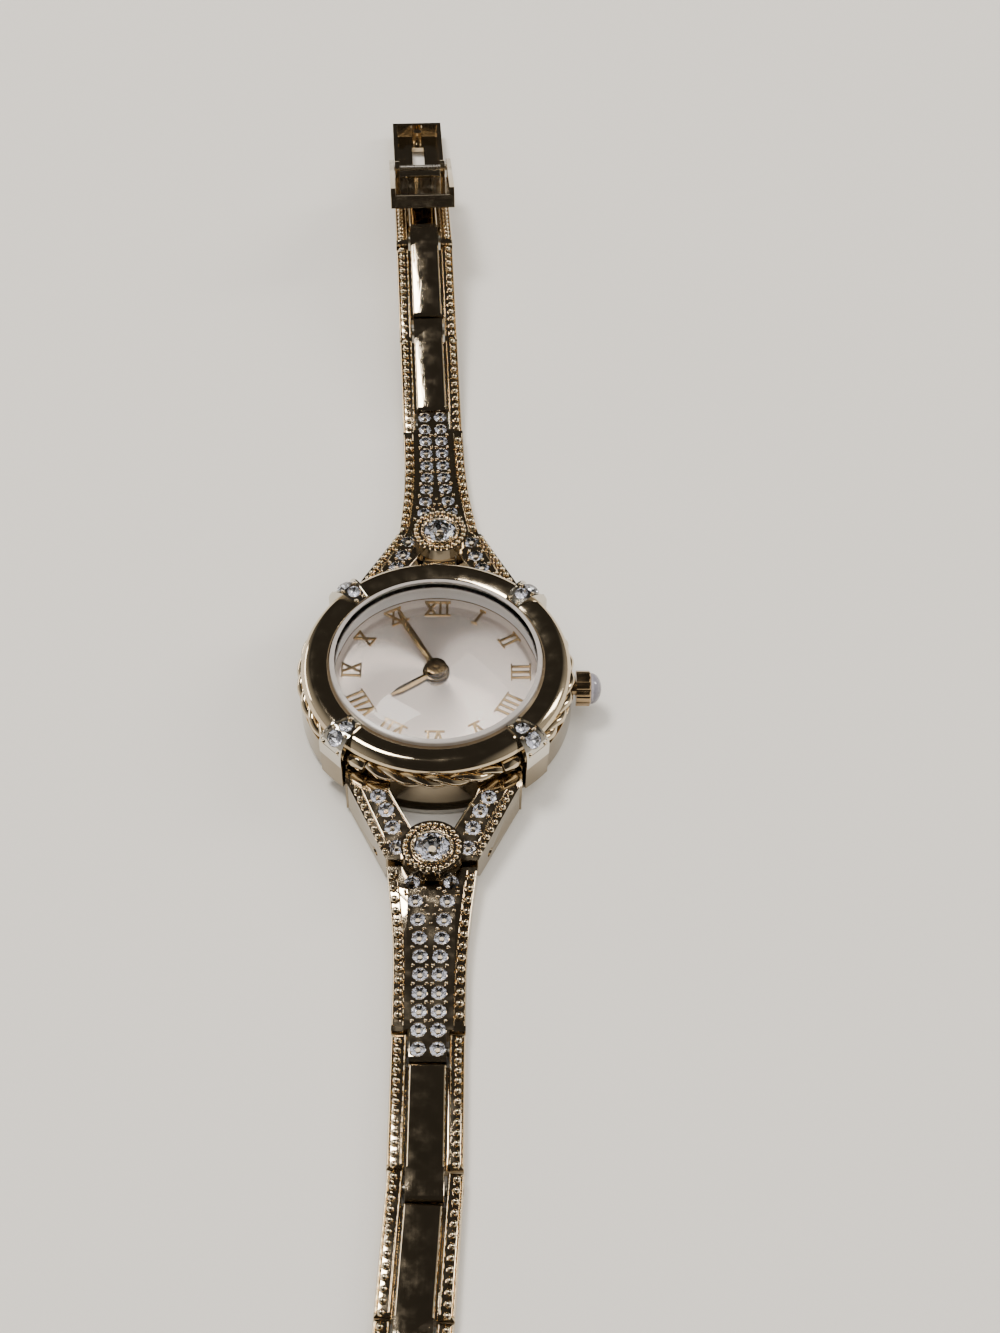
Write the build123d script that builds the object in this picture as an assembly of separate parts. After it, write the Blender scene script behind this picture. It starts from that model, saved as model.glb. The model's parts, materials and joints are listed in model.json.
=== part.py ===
from build123d import *
import math
import os

os.makedirs("parts", exist_ok=True)

# A ladies' jewellery watch, lying open on its case back. Millimetres.
# The origin is the centre of the case back's outer face. +Z is up through the dial,
# +Y points to 12 o'clock and +X to the crown at 3 o'clock.

# Clearances and the overrun of every cut
running_gap = 0.05
seat_gap = 0.03
cut_over = 0.5

# Case middle
case_radius = 11.9
case_wall = 1.9
case_height = 3.45
case_top_step_height = 0.3
recess_depth = 0.7
corner_angle = 45.5
pillar_proud = 0.6
pillar_lift = 0.8

# Case back, its spigot and its gasket
back_thickness = 0.7
back_setback = 0.3
back_bevel = 0.2
back_floor = 0.5
spigot_height = 0.55
spigot_wall = 0.6
gasket_width = 0.4

# Bezel, claws and rope ring
bezel_setback = 0.2
bezel_foot_height = 0.45
bezel_flare_height = 0.25
bezel_height = 2.65
bezel_rounding = 1.08
bezel_width = 2.5
bezel_lip_drop = 0.25
bezel_slope_drop = 0.06
rehaut_width = 0.5
rehaut_height = 0.85
bezel_skirt_wall = 1.6
claw_inner_width = 1.45
claw_outer_width = 2.65
claw_inset = 0.15
claw_proud = 0.2
claw_toe_height = 1.5
claw_brow_inset = 0.55
claw_brow_drop = 0.45
claw_stone_shares = ((0.32, 0.44, 0.02), (0.752, 0.47, 0.226))
rope_radius = 0.42
rope_inset = 0.18
rope_lift = 0.15

# Crystal and its gasket
glass_gap = 0.1
glass_edge_height = 1.3
glass_dome = 0.6
glass_gasket_height = 0.75
glass_middle = 0.95
glass_foot = 0.5

# Dial, numerals and hands
dial_thickness = 0.4
dial_gap = 0.2
dial_lift = 0.1
numeral_inset = 2.0
numeral_height = 1.6
numeral_pitch = 0.62
numeral_wide = 1.1
numeral_stroke = 0.2
numeral_serif = 0.12
numeral_relief = 0.12
hand_thickness = 0.12
hour_hand_inset = 2.64
minute_hand_inset = 0.1
hand_tail = 0.9
hand_width = 0.62
hand_wide_share = 0.6
hour_hand_lift = 0.2
minute_hand_lift = 0.5
hub_radius = 0.95
hub_height = 0.5
minute_hand_turn = 28.9
hour_hand_turn = 125.5

# Motion works under the dial: one module for both gear pairs
gear_module = 0.14
tooth_tip_share = 0.85
tooth_root_share = 1.15
tooth_foot_share = 0.36
tooth_crest_share = 0.13
cannon_teeth = 10
minute_wheel_teeth = 30
minute_pinion_teeth = 8
hour_wheel_teeth = 32
gear_thickness = 0.22
gear_layer = 0.4
post_radius = 0.35
tube_wall = 0.25
minute_stud_radius = 0.25
minute_wheel_turn = -50.0

# Movement
movement_gap = 0.15
plate_thickness = 1.95
works_depth = 0.9
works_gap = 0.25
board_thickness = 0.35
board_inset = 0.3
holder_foot = 1.4
holder_width = 1.65
battery_radius = 3.4
battery_height = 2.0
battery_sink = 0.6
battery_gap = 0.15
battery_inset = 0.56
strap_thickness = 0.2
strap_width = 2.4
strap_gap = 0.02
bridge_thickness = 0.85
bridge_inset = 0.7
bridge_start = 0.85
bridge_coil_gap = 1.3
coil_radius = 0.6
coil_length = 6.6
coil_core_radius = 0.25
coil_cheek = 0.3
coil_inset = 3.1

# Crown, stem and setting slide
crown_height = 3.0
crown_radius = 1.55
crown_length = 1.3
crown_bevel = 0.15
crown_gap = 0.08
crown_recess = 0.95
crown_flutes = 16
crown_flute_radius = 0.17
cabochon_radius = 1.38
cabochon_height = 0.95
crown_tube_radius = 0.6
crown_tube_wall = 0.22
crown_seal_width = 0.15
crown_seal_length = 0.45
stem_radius = 0.3
stem_inner_inset = 3.8
stem_neck_radius = 0.18
stem_neck_inset = 3.0
stem_neck_length = 0.35
slide_thickness = 0.25
slide_width = 1.3
slide_height = 0.7
crown_pull = 0.8

# Yoke: two arms and a round setting, fixed to the case at 6 and 12 o'clock
arm_root_half = 7.28
arm_end_half = 3.8
arm_root_inner_half = 3.65
arm_inner_half = 1.55
arm_run_in = 2.3
arm_root_reach = -0.76
arm_knee_reach = -0.1
arm_throat_reach = 3.7
arm_end_reach = 6.35
arm_top = 3.75
arm_end_top = 3.1
arm_bottom = 0.3
arm_pillar_gap = 0.15
setting_reach = 5.75
setting_radius = 2.6
setting_bottom = 2.95
setting_height = 1.2
setting_stone_radius = 1.42
arm_stone_radius = 0.68
arm_stone_first = 0.41
arm_stone_span = 4.79
arm_stone_shares = ((0.0, 0.38), (0.27, 0.37), (0.61, 0.45), (1.0, 0.49))
yoke_pin_reach = 4.35
yoke_pin_height = 1.35
yoke_pin_recess = 0.5

# Hinge pins and bores
pin_radius = 0.4
bore_clearance = 0.1
pin_height = 0.95
pin_end_recess = 0.12

# Pave link
pave_pin_pitch = 18.5
pave_start = 2.28
pave_start_half = 3.75
pave_waist_half = 3.1
pave_waist_reach = 8.4
pave_start_top = 2.75
pave_level_reach = 12.0
pave_band_half = 1.95
pave_band_rise = 0.3
knuckle_half = 1.4
knuckle_radius = 1.0
pave_neck_bottom = 0.35
pave_stone_radius = 0.62
pave_stone_count = 10
pave_stone_first = 3.79
pave_stone_pitch = 1.663
pave_stone_far = 0.77
pave_stone_near = 1.6
pave_stone_spread_count = 5
pave_side_steps = 6

# Plain link
link_pitch = 11.5
link_half = 2.92
link_top = 1.9
rail_top = 1.5
rail_bevel = 0.3
block_half = 1.45
block_bevel = 0.15
block_end_bevel = 0.3
groove = 0.2
web_bottom = 0.25
web_top = 1.1
fork_reach = 1.35
tongue_reach = 1.2
rail_gap = 0.1
tongue_gap = 0.16

# Stones
stone_gap = 0.03
stone_crown_share = 0.28
stone_table_share = 0.55
stone_culet_share = 0.12
stone_depth_share = 0.6
stone_proud_share = 0.2

# Extension ladder on the 6 o'clock end
ladder_length = 13.5
ladder_thickness = 0.9
ladder_half = 2.0
ladder_slot_width = 0.9
ladder_slot_half = 1.3
ladder_slot_pitch = 2.3
ladder_slot_count = 4
ladder_slot_first = 3.4

# Clasp frame and cover on the 12 o'clock end
frame_length = 14.5
frame_half = 2.7
frame_wall = 0.5
frame_height = 1.9
frame_floor = 0.5
frame_window_half = 0.65
frame_window_start = 4.6
frame_window_inset = 3.3
frame_block_end = 3.2
frame_post_radius = 0.5
frame_post_height = 1.3
frame_post_inset = 1.9
cover_pin_reach = 2.0
cover_pin_height = 2.6
cover_ear_radius = 0.75
cover_gap = 0.1
cover_wall = 0.5
cover_plate = 0.35
cover_plate_start = 2.4
cover_plate_lift = 0.35
cover_skirt = 1.3
cover_nose = 0.7
cover_skirt_start = 1.2
cover_end_inset = 0.9
cover_open_turn = 170.0
cover_pin_radius = 0.3

# How the bracelet lies, in degrees: the sideways turn of each piece, and its slope above level
near_turn_angles = (0.0, 0.0, -3.0, 0.0, 0.0)
far_turn_angles = (3.3, 0.0, 0.0, 0.0, 0.0)
far_slope_angles = (0.0, 12.0, 13.6, -12.0)

# Heights worked out from the stack of the case
case_base_z = back_thickness
case_top_z = case_base_z + case_height
cavity_radius = case_radius - case_wall
recess_radius = case_radius - recess_depth
pillar_radius = case_radius + pillar_proud
pillar_half_angle = math.degrees(math.asin(claw_outer_width / 2 / pillar_radius))
recess_half_angle = 90 - corner_angle - pillar_half_angle
back_radius = case_radius - back_setback
spigot_outer_radius = cavity_radius + gasket_width
bezel_radius = case_radius - bezel_setback
bezel_inner_radius = bezel_radius - bezel_width
claw_inner_radius = bezel_inner_radius + claw_inset
bezel_foot_z = case_top_z + bezel_foot_height
bezel_top_z = case_top_z + bezel_height
rehaut_radius = bezel_inner_radius - rehaut_width
dial_z = case_top_z + dial_lift
dial_top_z = dial_z + dial_thickness
rehaut_z = dial_top_z + running_gap
glass_z = rehaut_z + rehaut_height
glass_radius = bezel_inner_radius - glass_gap
bezel_skirt_radius = recess_radius - bezel_skirt_wall
dial_radius = bezel_skirt_radius - dial_gap
numeral_radius = dial_radius - numeral_inset
minute_hand_length = numeral_radius - minute_hand_inset
hour_hand_length = numeral_radius - hour_hand_inset
rope_ring_radius = case_radius - rope_inset
rope_z = case_top_z + rope_lift
plate_top_z = dial_z - running_gap
plate_z = plate_top_z - plate_thickness
works_z = plate_top_z - works_depth
board_z = plate_z - board_thickness
battery_z = plate_z + battery_sink - battery_height
bridge_z = board_z - bridge_thickness
movement_radius = cavity_radius - holder_width - movement_gap
battery_offset = (movement_radius - battery_radius - battery_inset) / math.sqrt(2)
battery_place = (-battery_offset, -battery_offset)
coil_offset = movement_radius - coil_inset
stem_inner_end = movement_radius - stem_inner_inset
stem_neck_start = movement_radius - stem_neck_inset
gear_distance = (cannon_teeth + minute_wheel_teeth) * gear_module / 2
crown_start = rope_ring_radius + rope_radius + crown_gap
bore_radius = pin_radius + bore_clearance
setting_place = case_radius + setting_reach
yoke_pin_place = case_radius + yoke_pin_reach
frame_window_end = frame_length - frame_window_inset
frame_post_place = frame_length - frame_post_inset
cover_length = frame_length - cover_pin_reach - cover_end_inset

STAND = (Align.CENTER, Align.CENTER, Align.MIN)
CORNER = (Align.MIN, Align.MIN, Align.MIN)


def disc(radius, low, high):
    """A round plate about the case axis, between two heights."""
    return Pos(0, 0, low) * Cylinder(radius, high - low, align=STAND)


def ring(inner, outer, low, high):
    """A flat ring about the case axis."""
    return disc(outer, low, high) - disc(inner, low - cut_over, high + cut_over)


def bar(x0, x1, y0, y1, z0, z1):
    """A box between two corners."""
    return Pos(x0, y0, z0) * Box(x1 - x0, y1 - y0, z1 - z0, align=CORNER)


def rod(radius, x0, x1, y, z):
    """A round rod along X."""
    return Pos(x0, y, z) * Rot(0, 90, 0) * Cylinder(radius, x1 - x0, align=STAND)


def turned(*edges):
    """A solid turned about Z from a closed outline in the XZ plane."""
    return revolve(make_face([e for item in edges for e in item.edges()]), axis=Axis.Z)


def dome_middle(radius, rise):
    """How far in and how far down a dome's arc passes half way out, its centre on the axis."""
    sphere = (radius ** 2 + rise ** 2) / (2 * rise)
    return radius / 2, sphere - math.sqrt(sphere ** 2 - radius ** 2 / 4)


def outline(points):
    """A closed run of straight edges in the XZ plane, as a face."""
    return make_face(Polyline(*[(x, 0, z) for x, z in points], close=True))


def across(points, half):
    """A side outline in the YZ plane, drawn out to both sides along X."""
    face = make_face(Polyline(*[(-half, y, z) for y, z in points], close=True))
    return extrude(face, amount=2 * half, dir=(1, 0, 0))


def standing(points, low, high):
    """A plan outline drawn up between two heights."""
    face = make_face(Polyline(*[(x, y, low) for x, y in points], close=True))
    return extrude(face, amount=high - low, dir=(0, 0, 1))


def mirrored(solid):
    """The solid with its like on the other side of the YZ plane."""
    return [solid, mirror(solid, about=Plane.YZ)]


def fused(solids):
    """All solids joined into one."""
    total = solids[0]
    for other in solids[1:]:
        total = total + other
    return total


def stone(radius, x, y, surface_z):
    """A cut stone, its girdle just below the metal's surface."""
    crown = radius * stone_crown_share
    depth = radius * stone_depth_share
    girdle_z = surface_z + radius * stone_proud_share - crown
    top = Pos(x, y, girdle_z) * Cone(radius, radius * stone_table_share, crown, align=STAND)
    foot = Cone(radius * stone_culet_share, radius, depth, align=STAND)
    return top + Pos(x, y, girdle_z - depth) * foot


def stone_seat(radius, x, y, surface_z):
    """The round hole that a stone sits in."""
    depth = radius * (stone_depth_share + stone_crown_share - stone_proud_share)
    low = surface_z - depth
    height = depth + cut_over
    return Pos(x, y, low) * Cylinder(radius + stone_gap, height, align=STAND)


def save(name, shape):
    """One step file for each piece. A list is a group of separate solids."""
    if isinstance(shape, list):
        shape = Compound(children=[s for item in shape for s in item.solids()])
    export_step(shape, f"parts/{name}.step")


# Case

def wedge_half(radius):
    """Half the width of a claw at a radius."""
    share = (radius - claw_inner_radius) / (pillar_radius - claw_inner_radius)
    return (claw_inner_width + (claw_outer_width - claw_inner_width) * share) / 2


def corner_wedge(low, high):
    """A wedge that widens outwards, on the +X axis, from a claw's inner end past the pillar."""
    outer = pillar_radius + cut_over
    inner_half = wedge_half(claw_inner_radius)
    outer_half = wedge_half(outer)
    points = (
        (claw_inner_radius, -inner_half),
        (outer, -outer_half),
        (outer, outer_half),
        (claw_inner_radius, inner_half),
    )
    return standing(points, low, high)


def corner_angles():
    """The four corners at which the claws sit."""
    return (corner_angle, 180 - corner_angle, 180 + corner_angle, -corner_angle)


def pillars():
    """Smooth blocks that stand proud of the case under the claws."""
    low = case_base_z + pillar_lift
    block = corner_wedge(low, case_top_z) & ring(cavity_radius, pillar_radius, low, case_top_z)
    return [Rot(0, 0, a) * block for a in corner_angles()]


def recess_cut():
    """The setback of the case wall under the rope ring at 6 and 12 o'clock."""
    reach = case_radius + cut_over
    half = reach * math.tan(math.radians(recess_half_angle))
    low = case_base_z - cut_over
    high = case_top_z + cut_over
    wedge = standing(((0, 0), (half, reach), (-half, reach)), low, high)
    wedge = wedge - disc(recess_radius, low, high)
    return wedge + mirror(wedge, about=Plane.XZ)


def case_body():
    """The case middle: a round wall with four pillars and a hole for the crown tube."""
    low = case_base_z - cut_over
    high = case_top_z + cut_over
    body = disc(case_radius, case_base_z, case_top_z)
    step = ring(recess_radius, case_radius + cut_over, case_top_z - case_top_step_height, high)
    body = body - step - recess_cut()
    body = fused([body] + pillars())
    body = body - disc(cavity_radius, low, high)
    body = body - disc(spigot_outer_radius + seat_gap, low, case_base_z + spigot_height + seat_gap)
    tube_hole = rod(crown_tube_radius, 0, case_radius + cut_over, 0, crown_height)
    return body - tube_hole


def case_back():
    """The snap back: a bevelled disc with a spigot that holds it in the case."""
    top = back_thickness
    floor = turned(
        Polyline(
            (0, 0, 0),
            (back_radius - back_bevel, 0, 0),
            (back_radius, 0, back_bevel),
            (back_radius, 0, top),
            (0, 0, top),
            close=True,
        )
    )
    hollow = disc(cavity_radius - spigot_wall, back_floor, top + cut_over)
    spigot = ring(cavity_radius - spigot_wall, cavity_radius, top, top + spigot_height)
    return floor - hollow + spigot


def case_back_gasket():
    """The seal round the spigot."""
    return ring(cavity_radius, spigot_outer_radius, case_base_z, case_base_z + spigot_height)


def bezel_shell():
    """The domed bezel before the claws are let into it."""
    crest_radius = bezel_radius - bezel_rounding
    rounding_z = bezel_top_z - bezel_rounding
    slant = bezel_rounding / math.sqrt(2)
    wall = (bezel_radius, 0, rounding_z)
    corner = (crest_radius + slant, 0, rounding_z + slant)
    crest = (crest_radius, 0, bezel_top_z)
    slope = ((crest_radius + bezel_inner_radius) / 2, 0, bezel_top_z - bezel_slope_drop)
    lip = (bezel_inner_radius, 0, bezel_top_z - bezel_lip_drop)
    return turned(
        Polyline(
            lip,
            (bezel_inner_radius, 0, glass_z),
            (rehaut_radius, 0, glass_z),
            (rehaut_radius, 0, rehaut_z),
            (bezel_skirt_radius, 0, rehaut_z),
            (bezel_skirt_radius, 0, case_top_z),
            (recess_radius, 0, case_top_z),
            (recess_radius, 0, bezel_foot_z),
            (bezel_radius, 0, bezel_foot_z + bezel_flare_height),
            wall,
        ),
        ThreePointArc(wall, corner, crest),
        ThreePointArc(crest, slope, lip),
    )


def claw_floor_z():
    """The height of the notch's floor in the bezel."""
    return glass_z + running_gap


def claw():
    """One claw on the +X axis: a wedge that stands proud of the bezel and ends over the pillar."""
    top = bezel_top_z + claw_proud
    start = (claw_inner_radius, 0, top - bezel_lip_drop)
    crest = (bezel_radius - bezel_rounding, 0, top)
    brow = (pillar_radius - claw_brow_inset, 0, top - claw_brow_drop)
    toe = (pillar_radius, 0, case_top_z + claw_toe_height)
    skin = turned(
        Polyline(
            start,
            (claw_inner_radius, 0, claw_floor_z()),
            (recess_radius, 0, claw_floor_z()),
            (recess_radius, 0, case_top_z),
            (pillar_radius, 0, case_top_z),
            toe,
        ),
        ThreePointArc(toe, brow, crest),
        Line(crest, start),
    )
    return skin & corner_wedge(case_top_z, bezel_top_z + cut_over)


def claw_stone_places():
    """Radius, stone size and height of the two stones on each claw."""
    places = []
    for radius_share, size_share, drop_share in claw_stone_shares:
        radius = claw_inner_radius + (pillar_radius - claw_inner_radius) * radius_share
        size = claw_outer_width / 2 * size_share
        height = bezel_top_z + claw_proud - bezel_height * drop_share
        places.append((radius, size, height))
    return places


def bezel_claws():
    """Four claws with seats for their stones."""
    one = claw()
    for radius, size, height in claw_stone_places():
        one = one - stone_seat(size, radius, 0, height)
    return [Rot(0, 0, a) * one for a in corner_angles()]


def claw_crystals():
    """Two stones on each claw."""
    stones = [stone(size, radius, 0, height) for radius, size, height in claw_stone_places()]
    return [Rot(0, 0, a) * s for a in corner_angles() for s in stones]


def bezel():
    """The bezel with a notch for each claw."""
    shell = bezel_shell()
    notch = corner_wedge(claw_floor_z(), bezel_top_z + cut_over)
    foot = corner_wedge(case_top_z, bezel_top_z)
    foot = foot & ring(recess_radius, pillar_radius, case_top_z, bezel_top_z)
    for a in corner_angles():
        shell = shell - Rot(0, 0, a) * notch - Rot(0, 0, a) * foot
    return shell


def rope_ring():
    """Four stretches of the ring of rope round the bezel's foot, between the pillars."""
    whole = Pos(0, 0, rope_z) * Torus(rope_ring_radius, rope_radius)
    low = rope_z - rope_radius - cut_over
    high = rope_z + rope_radius + cut_over
    for a in corner_angles():
        whole = whole - Rot(0, 0, a) * corner_wedge(low, high)
    return list(whole.solids())


def crystal():
    """The domed glass."""
    edge_z = glass_z + glass_edge_height
    top_z = edge_z + glass_dome
    under_z = top_z - glass_middle
    foot_radius = glass_radius - glass_foot
    edge = (glass_radius, 0, edge_z)
    foot = (foot_radius, 0, glass_z)
    dome_x, dome_drop = dome_middle(glass_radius, glass_dome)
    under_x, under_drop = dome_middle(foot_radius, under_z - glass_z)
    return turned(
        Line((0, 0, under_z), (0, 0, top_z)),
        ThreePointArc((0, 0, top_z), (dome_x, 0, top_z - dome_drop), edge),
        Polyline(edge, (glass_radius, 0, glass_z), foot),
        ThreePointArc(foot, (under_x, 0, under_z - under_drop), (0, 0, under_z)),
    )


def crystal_gasket():
    """The thin seal between the glass and the bezel."""
    return ring(glass_radius, bezel_inner_radius, glass_z, glass_z + glass_gasket_height)


# Dial and hands

def dial():
    """The dial plate, with a hole for the hands' tubes."""
    hole_radius = post_radius + 2 * tube_wall + 3 * running_gap + seat_gap
    return ring(hole_radius, dial_radius, dial_z, dial_top_z)


def stroke(x0, y0, x1, y1, width):
    """One stroke of a numeral, standing on the dial."""
    length = math.hypot(x1 - x0, y1 - y0)
    angle = math.degrees(math.atan2(y1 - y0, x1 - x0))
    place = Pos((x0 + x1) / 2, (y0 + y1) / 2, dial_top_z) * Rot(0, 0, angle)
    return place * Box(length, width, numeral_relief, align=STAND)


def numeral(letters):
    """One roman numeral upright about the origin, with serifs across its top and foot."""
    widths = [numeral_pitch if c == "I" else numeral_wide for c in letters]
    left = -sum(widths) / 2
    half = numeral_height / 2
    strokes = []
    for c, width in zip(letters, widths):
        x0 = left + numeral_stroke / 2
        x1 = left + width - numeral_stroke / 2
        middle = left + width / 2
        if c == "I":
            strokes.append(stroke(middle, -half, middle, half, numeral_stroke))
        if c == "V":
            strokes.append(stroke(x0, half, middle, -half, numeral_stroke))
            strokes.append(stroke(x1, half, middle, -half, numeral_stroke))
        if c == "X":
            strokes.append(stroke(x0, half, x1, -half, numeral_stroke))
            strokes.append(stroke(x0, -half, x1, half, numeral_stroke))
        left = left + width
    reach = sum(widths) / 2
    strokes.append(stroke(-reach, half, reach, half, numeral_serif))
    strokes.append(stroke(-reach, -half, reach, -half, numeral_serif))
    return fused(strokes)


def dial_numerals():
    """Twelve applied numerals, each with its head outwards."""
    names = ("I", "II", "III", "IIII", "V", "VI", "VII", "VIII", "IX", "X", "XI", "XII")
    pieces = []
    for i, name in enumerate(names):
        pieces.append(Rot(0, 0, -30 * (i + 1)) * Pos(0, numeral_radius, 0) * numeral(name))
    return pieces


def hand_blade(length, low):
    """A leaf-shaped hand along +Y, widest near the hub."""
    half = hand_width / 2
    widest = length * hand_wide_share
    points = (
        (0, length),
        (-half, widest),
        (-half / 2, 0),
        (-half / 2, -hand_tail),
        (half / 2, -hand_tail),
        (half / 2, 0),
        (half, widest),
    )
    return standing(points, low, low + hand_thickness)


def minute_hand():
    """The minute hand with its raised hub cap."""
    low = dial_top_z + minute_hand_lift
    blade = hand_blade(minute_hand_length, low) + disc(hub_radius, low, low + hub_height)
    bore = disc(post_radius + tube_wall + running_gap, low - cut_over, low + hub_height / 2)
    return Rot(0, 0, minute_hand_turn) * (blade - bore)


def hour_hand():
    """The hour hand with its round eye."""
    low = dial_top_z + hour_hand_lift
    outer = post_radius + 2 * tube_wall + 2 * running_gap
    eye = disc(outer + tube_wall, low, low + hand_thickness)
    blade = hand_blade(hour_hand_length, low) + eye
    return Rot(0, 0, hour_hand_turn) * (blade - disc(outer, low - cut_over, low + cut_over))


# Motion works

def gear(teeth, low, high, phase):
    """A toothed disc with straight-sided teeth, turned by phase teeth."""
    pitch = teeth * gear_module / 2
    tip = pitch + gear_module * tooth_tip_share
    root = pitch - gear_module * tooth_root_share
    corners = (
        (root, -tooth_foot_share),
        (tip, -tooth_crest_share),
        (tip, tooth_crest_share),
        (root, tooth_foot_share),
    )
    points = []
    for i in range(teeth):
        for radius, share in corners:
            angle = 2 * math.pi * (i + share + phase) / teeth
            points.append((radius * math.cos(angle), radius * math.sin(angle)))
    return standing(points, low, high)


def cannon_pinion():
    """The minute hand's pinion and tube, which turn on the plate's post."""
    low = works_z + running_gap
    outer = post_radius + running_gap + tube_wall
    top = dial_top_z + minute_hand_lift + hub_height / 2
    wheel = gear(cannon_teeth, low, low + gear_layer, 0)
    tube = disc(outer, low, top)
    return wheel + tube - disc(post_radius + running_gap, low - cut_over, top + cut_over)


def hour_wheel():
    """The hour hand's wheel and tube, which turn on the cannon pinion."""
    low = works_z + 2 * running_gap + gear_layer
    inner = post_radius + 2 * running_gap + tube_wall
    top = dial_top_z + hour_hand_lift + hand_thickness
    wheel = gear(hour_wheel_teeth, low, low + gear_thickness, 0)
    tube = disc(inner + tube_wall, low, top)
    return wheel + tube - disc(inner, low - cut_over, top + cut_over)


def minute_wheel_place():
    """The place of the minute wheel's stud."""
    angle = math.radians(minute_wheel_turn)
    return gear_distance * math.cos(angle), gear_distance * math.sin(angle)


def meshed(own_teeth, other_teeth):
    """The phase, in teeth, that sets a gap opposite the other gear's tooth."""
    along = minute_wheel_turn / 360
    return 0.5 + (along + 0.5) * own_teeth + along * other_teeth


def minute_wheel():
    """The wheel that the cannon pinion drives, with the pinion that drives the hour wheel."""
    x, y = minute_wheel_place()
    low = works_z + running_gap
    high = low + gear_layer + running_gap + gear_thickness
    wheel = gear(minute_wheel_teeth, low, low + gear_thickness, meshed(minute_wheel_teeth, cannon_teeth))
    pinion = gear(minute_pinion_teeth, low, high, meshed(minute_pinion_teeth, hour_wheel_teeth))
    bore = disc(minute_stud_radius + running_gap, low - cut_over, high + cut_over)
    return Pos(x, y, 0) * (wheel + pinion - bore)


# Movement

def movement_plate():
    """The main plate, with its centre post, the minute wheel's stud and the stem's way."""
    x, y = minute_wheel_place()
    plate = disc(movement_radius, plate_z, plate_top_z)
    tip = gear_module * tooth_tip_share + works_gap
    hour_room = hour_wheel_teeth * gear_module / 2 + tip
    minute_room = minute_wheel_teeth * gear_module / 2 + tip
    plate = plate - disc(hour_room, works_z, plate_top_z + cut_over)
    plate = plate - Pos(x, y, 0) * disc(minute_room, works_z, plate_top_z + cut_over)
    post_top = dial_top_z + minute_hand_lift
    plate = plate + disc(post_radius, works_z, post_top)
    plate = plate + Pos(x, y, 0) * disc(minute_stud_radius, works_z, plate_top_z - running_gap)
    room = disc(battery_radius + battery_gap, plate_z - cut_over, plate_z + battery_sink + seat_gap)
    plate = plate - Pos(*battery_place, 0) * room
    way_start = stem_inner_end - seat_gap
    plate = plate - rod(stem_radius + running_gap, way_start, movement_radius + cut_over, 0, crown_height)
    return plate - setting_room()


def setting_room():
    """The pocket in which the setting slide travels with the stem."""
    half = slide_width / 2 + running_gap
    x0 = stem_neck_start - running_gap
    x1 = stem_neck_start + stem_neck_length + crown_pull + running_gap
    return bar(x0, x1, -half, half, plate_z - cut_over, crown_height + stem_radius + 2 * running_gap)


def movement_holder():
    """The plastic ring that holds the movement in the case and carries the dial."""
    outer = cavity_radius - seat_gap
    inner = movement_radius + movement_gap
    body = ring(inner, outer, holder_foot, case_top_z - running_gap)
    body = body + ring(inner, dial_radius, holder_foot, dial_z)
    body = body + ring(movement_radius - board_inset + seat_gap, outer, board_z, plate_z)
    body = body - Pos(*battery_place, 0) * disc(battery_radius + battery_gap, 0, plate_z + seat_gap)
    body = body - rod(crown_tube_radius + running_gap, 0, case_radius, 0, crown_height)
    return body


def circuit_board():
    """The board under the plate, cut out for the battery."""
    board = disc(movement_radius - board_inset, board_z, plate_z)
    low = board_z - cut_over
    high = plate_z + cut_over
    board = board - Pos(*battery_place, 0) * disc(battery_radius + battery_gap, low, high)
    half = slide_width / 2 + running_gap
    x0 = stem_neck_start - running_gap
    x1 = stem_neck_start + stem_neck_length + crown_pull + running_gap
    return board - bar(x0, x1, -half, half, low, high)


def train_bridge():
    """The cover of the step motor's sealed wheel train."""
    radius = movement_radius - bridge_inset
    low = bridge_z - cut_over
    high = board_z + cut_over
    cover = disc(radius, bridge_z, board_z)
    end = coil_offset - coil_radius - bridge_coil_gap
    cover = cover & bar(bridge_start, radius, -radius, end, low, high)
    return cover - Pos(*battery_place, 0) * disc(battery_radius + battery_gap, low, high)


def battery():
    """The button cell."""
    return Pos(*battery_place, 0) * disc(battery_radius, battery_z, battery_z + battery_height)


def battery_strap():
    """The spring strap across the cell, with a foot that rises to the board."""
    half = strap_width / 2
    top = battery_z - strap_gap
    low = top - strap_thickness
    x, y = battery_place
    reach = battery_radius + battery_gap + strap_thickness
    plate = bar(x - battery_radius, x + reach + strap_thickness, y - half, y + half, low, top)
    foot = bar(x + reach, x + reach + strap_thickness, y - half, y + half, low, bridge_z)
    return plate + foot


def coil_z():
    """The height of the coil's axis under the board."""
    return board_z - coil_radius - running_gap


def coil():
    """The step motor's coil."""
    start = -coil_length / 2
    body = rod(coil_radius, start, start + coil_length, coil_offset, coil_z())
    hole_end = start + coil_length + cut_over
    return body - rod(coil_core_radius, start - cut_over, hole_end, coil_offset, coil_z())


def coil_core():
    """The coil's core, with an end lug each side that meets the board."""
    half = coil_length / 2 + coil_cheek
    core = rod(coil_core_radius, -half, half, coil_offset, coil_z())
    lugs = []
    for x0 in (-half - coil_cheek, half):
        y0 = coil_offset - coil_radius
        y1 = coil_offset + coil_radius
        low = coil_z() - coil_core_radius
        lugs.append(bar(x0, x0 + coil_cheek, y0, y1, low, board_z))
    return fused([core] + lugs)


# Crown

def to_crown(x):
    """Turns a piece built up along Z so that it points along the crown's axis from x."""
    return Pos(x, 0, crown_height) * Rot(0, 90, 0)


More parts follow.
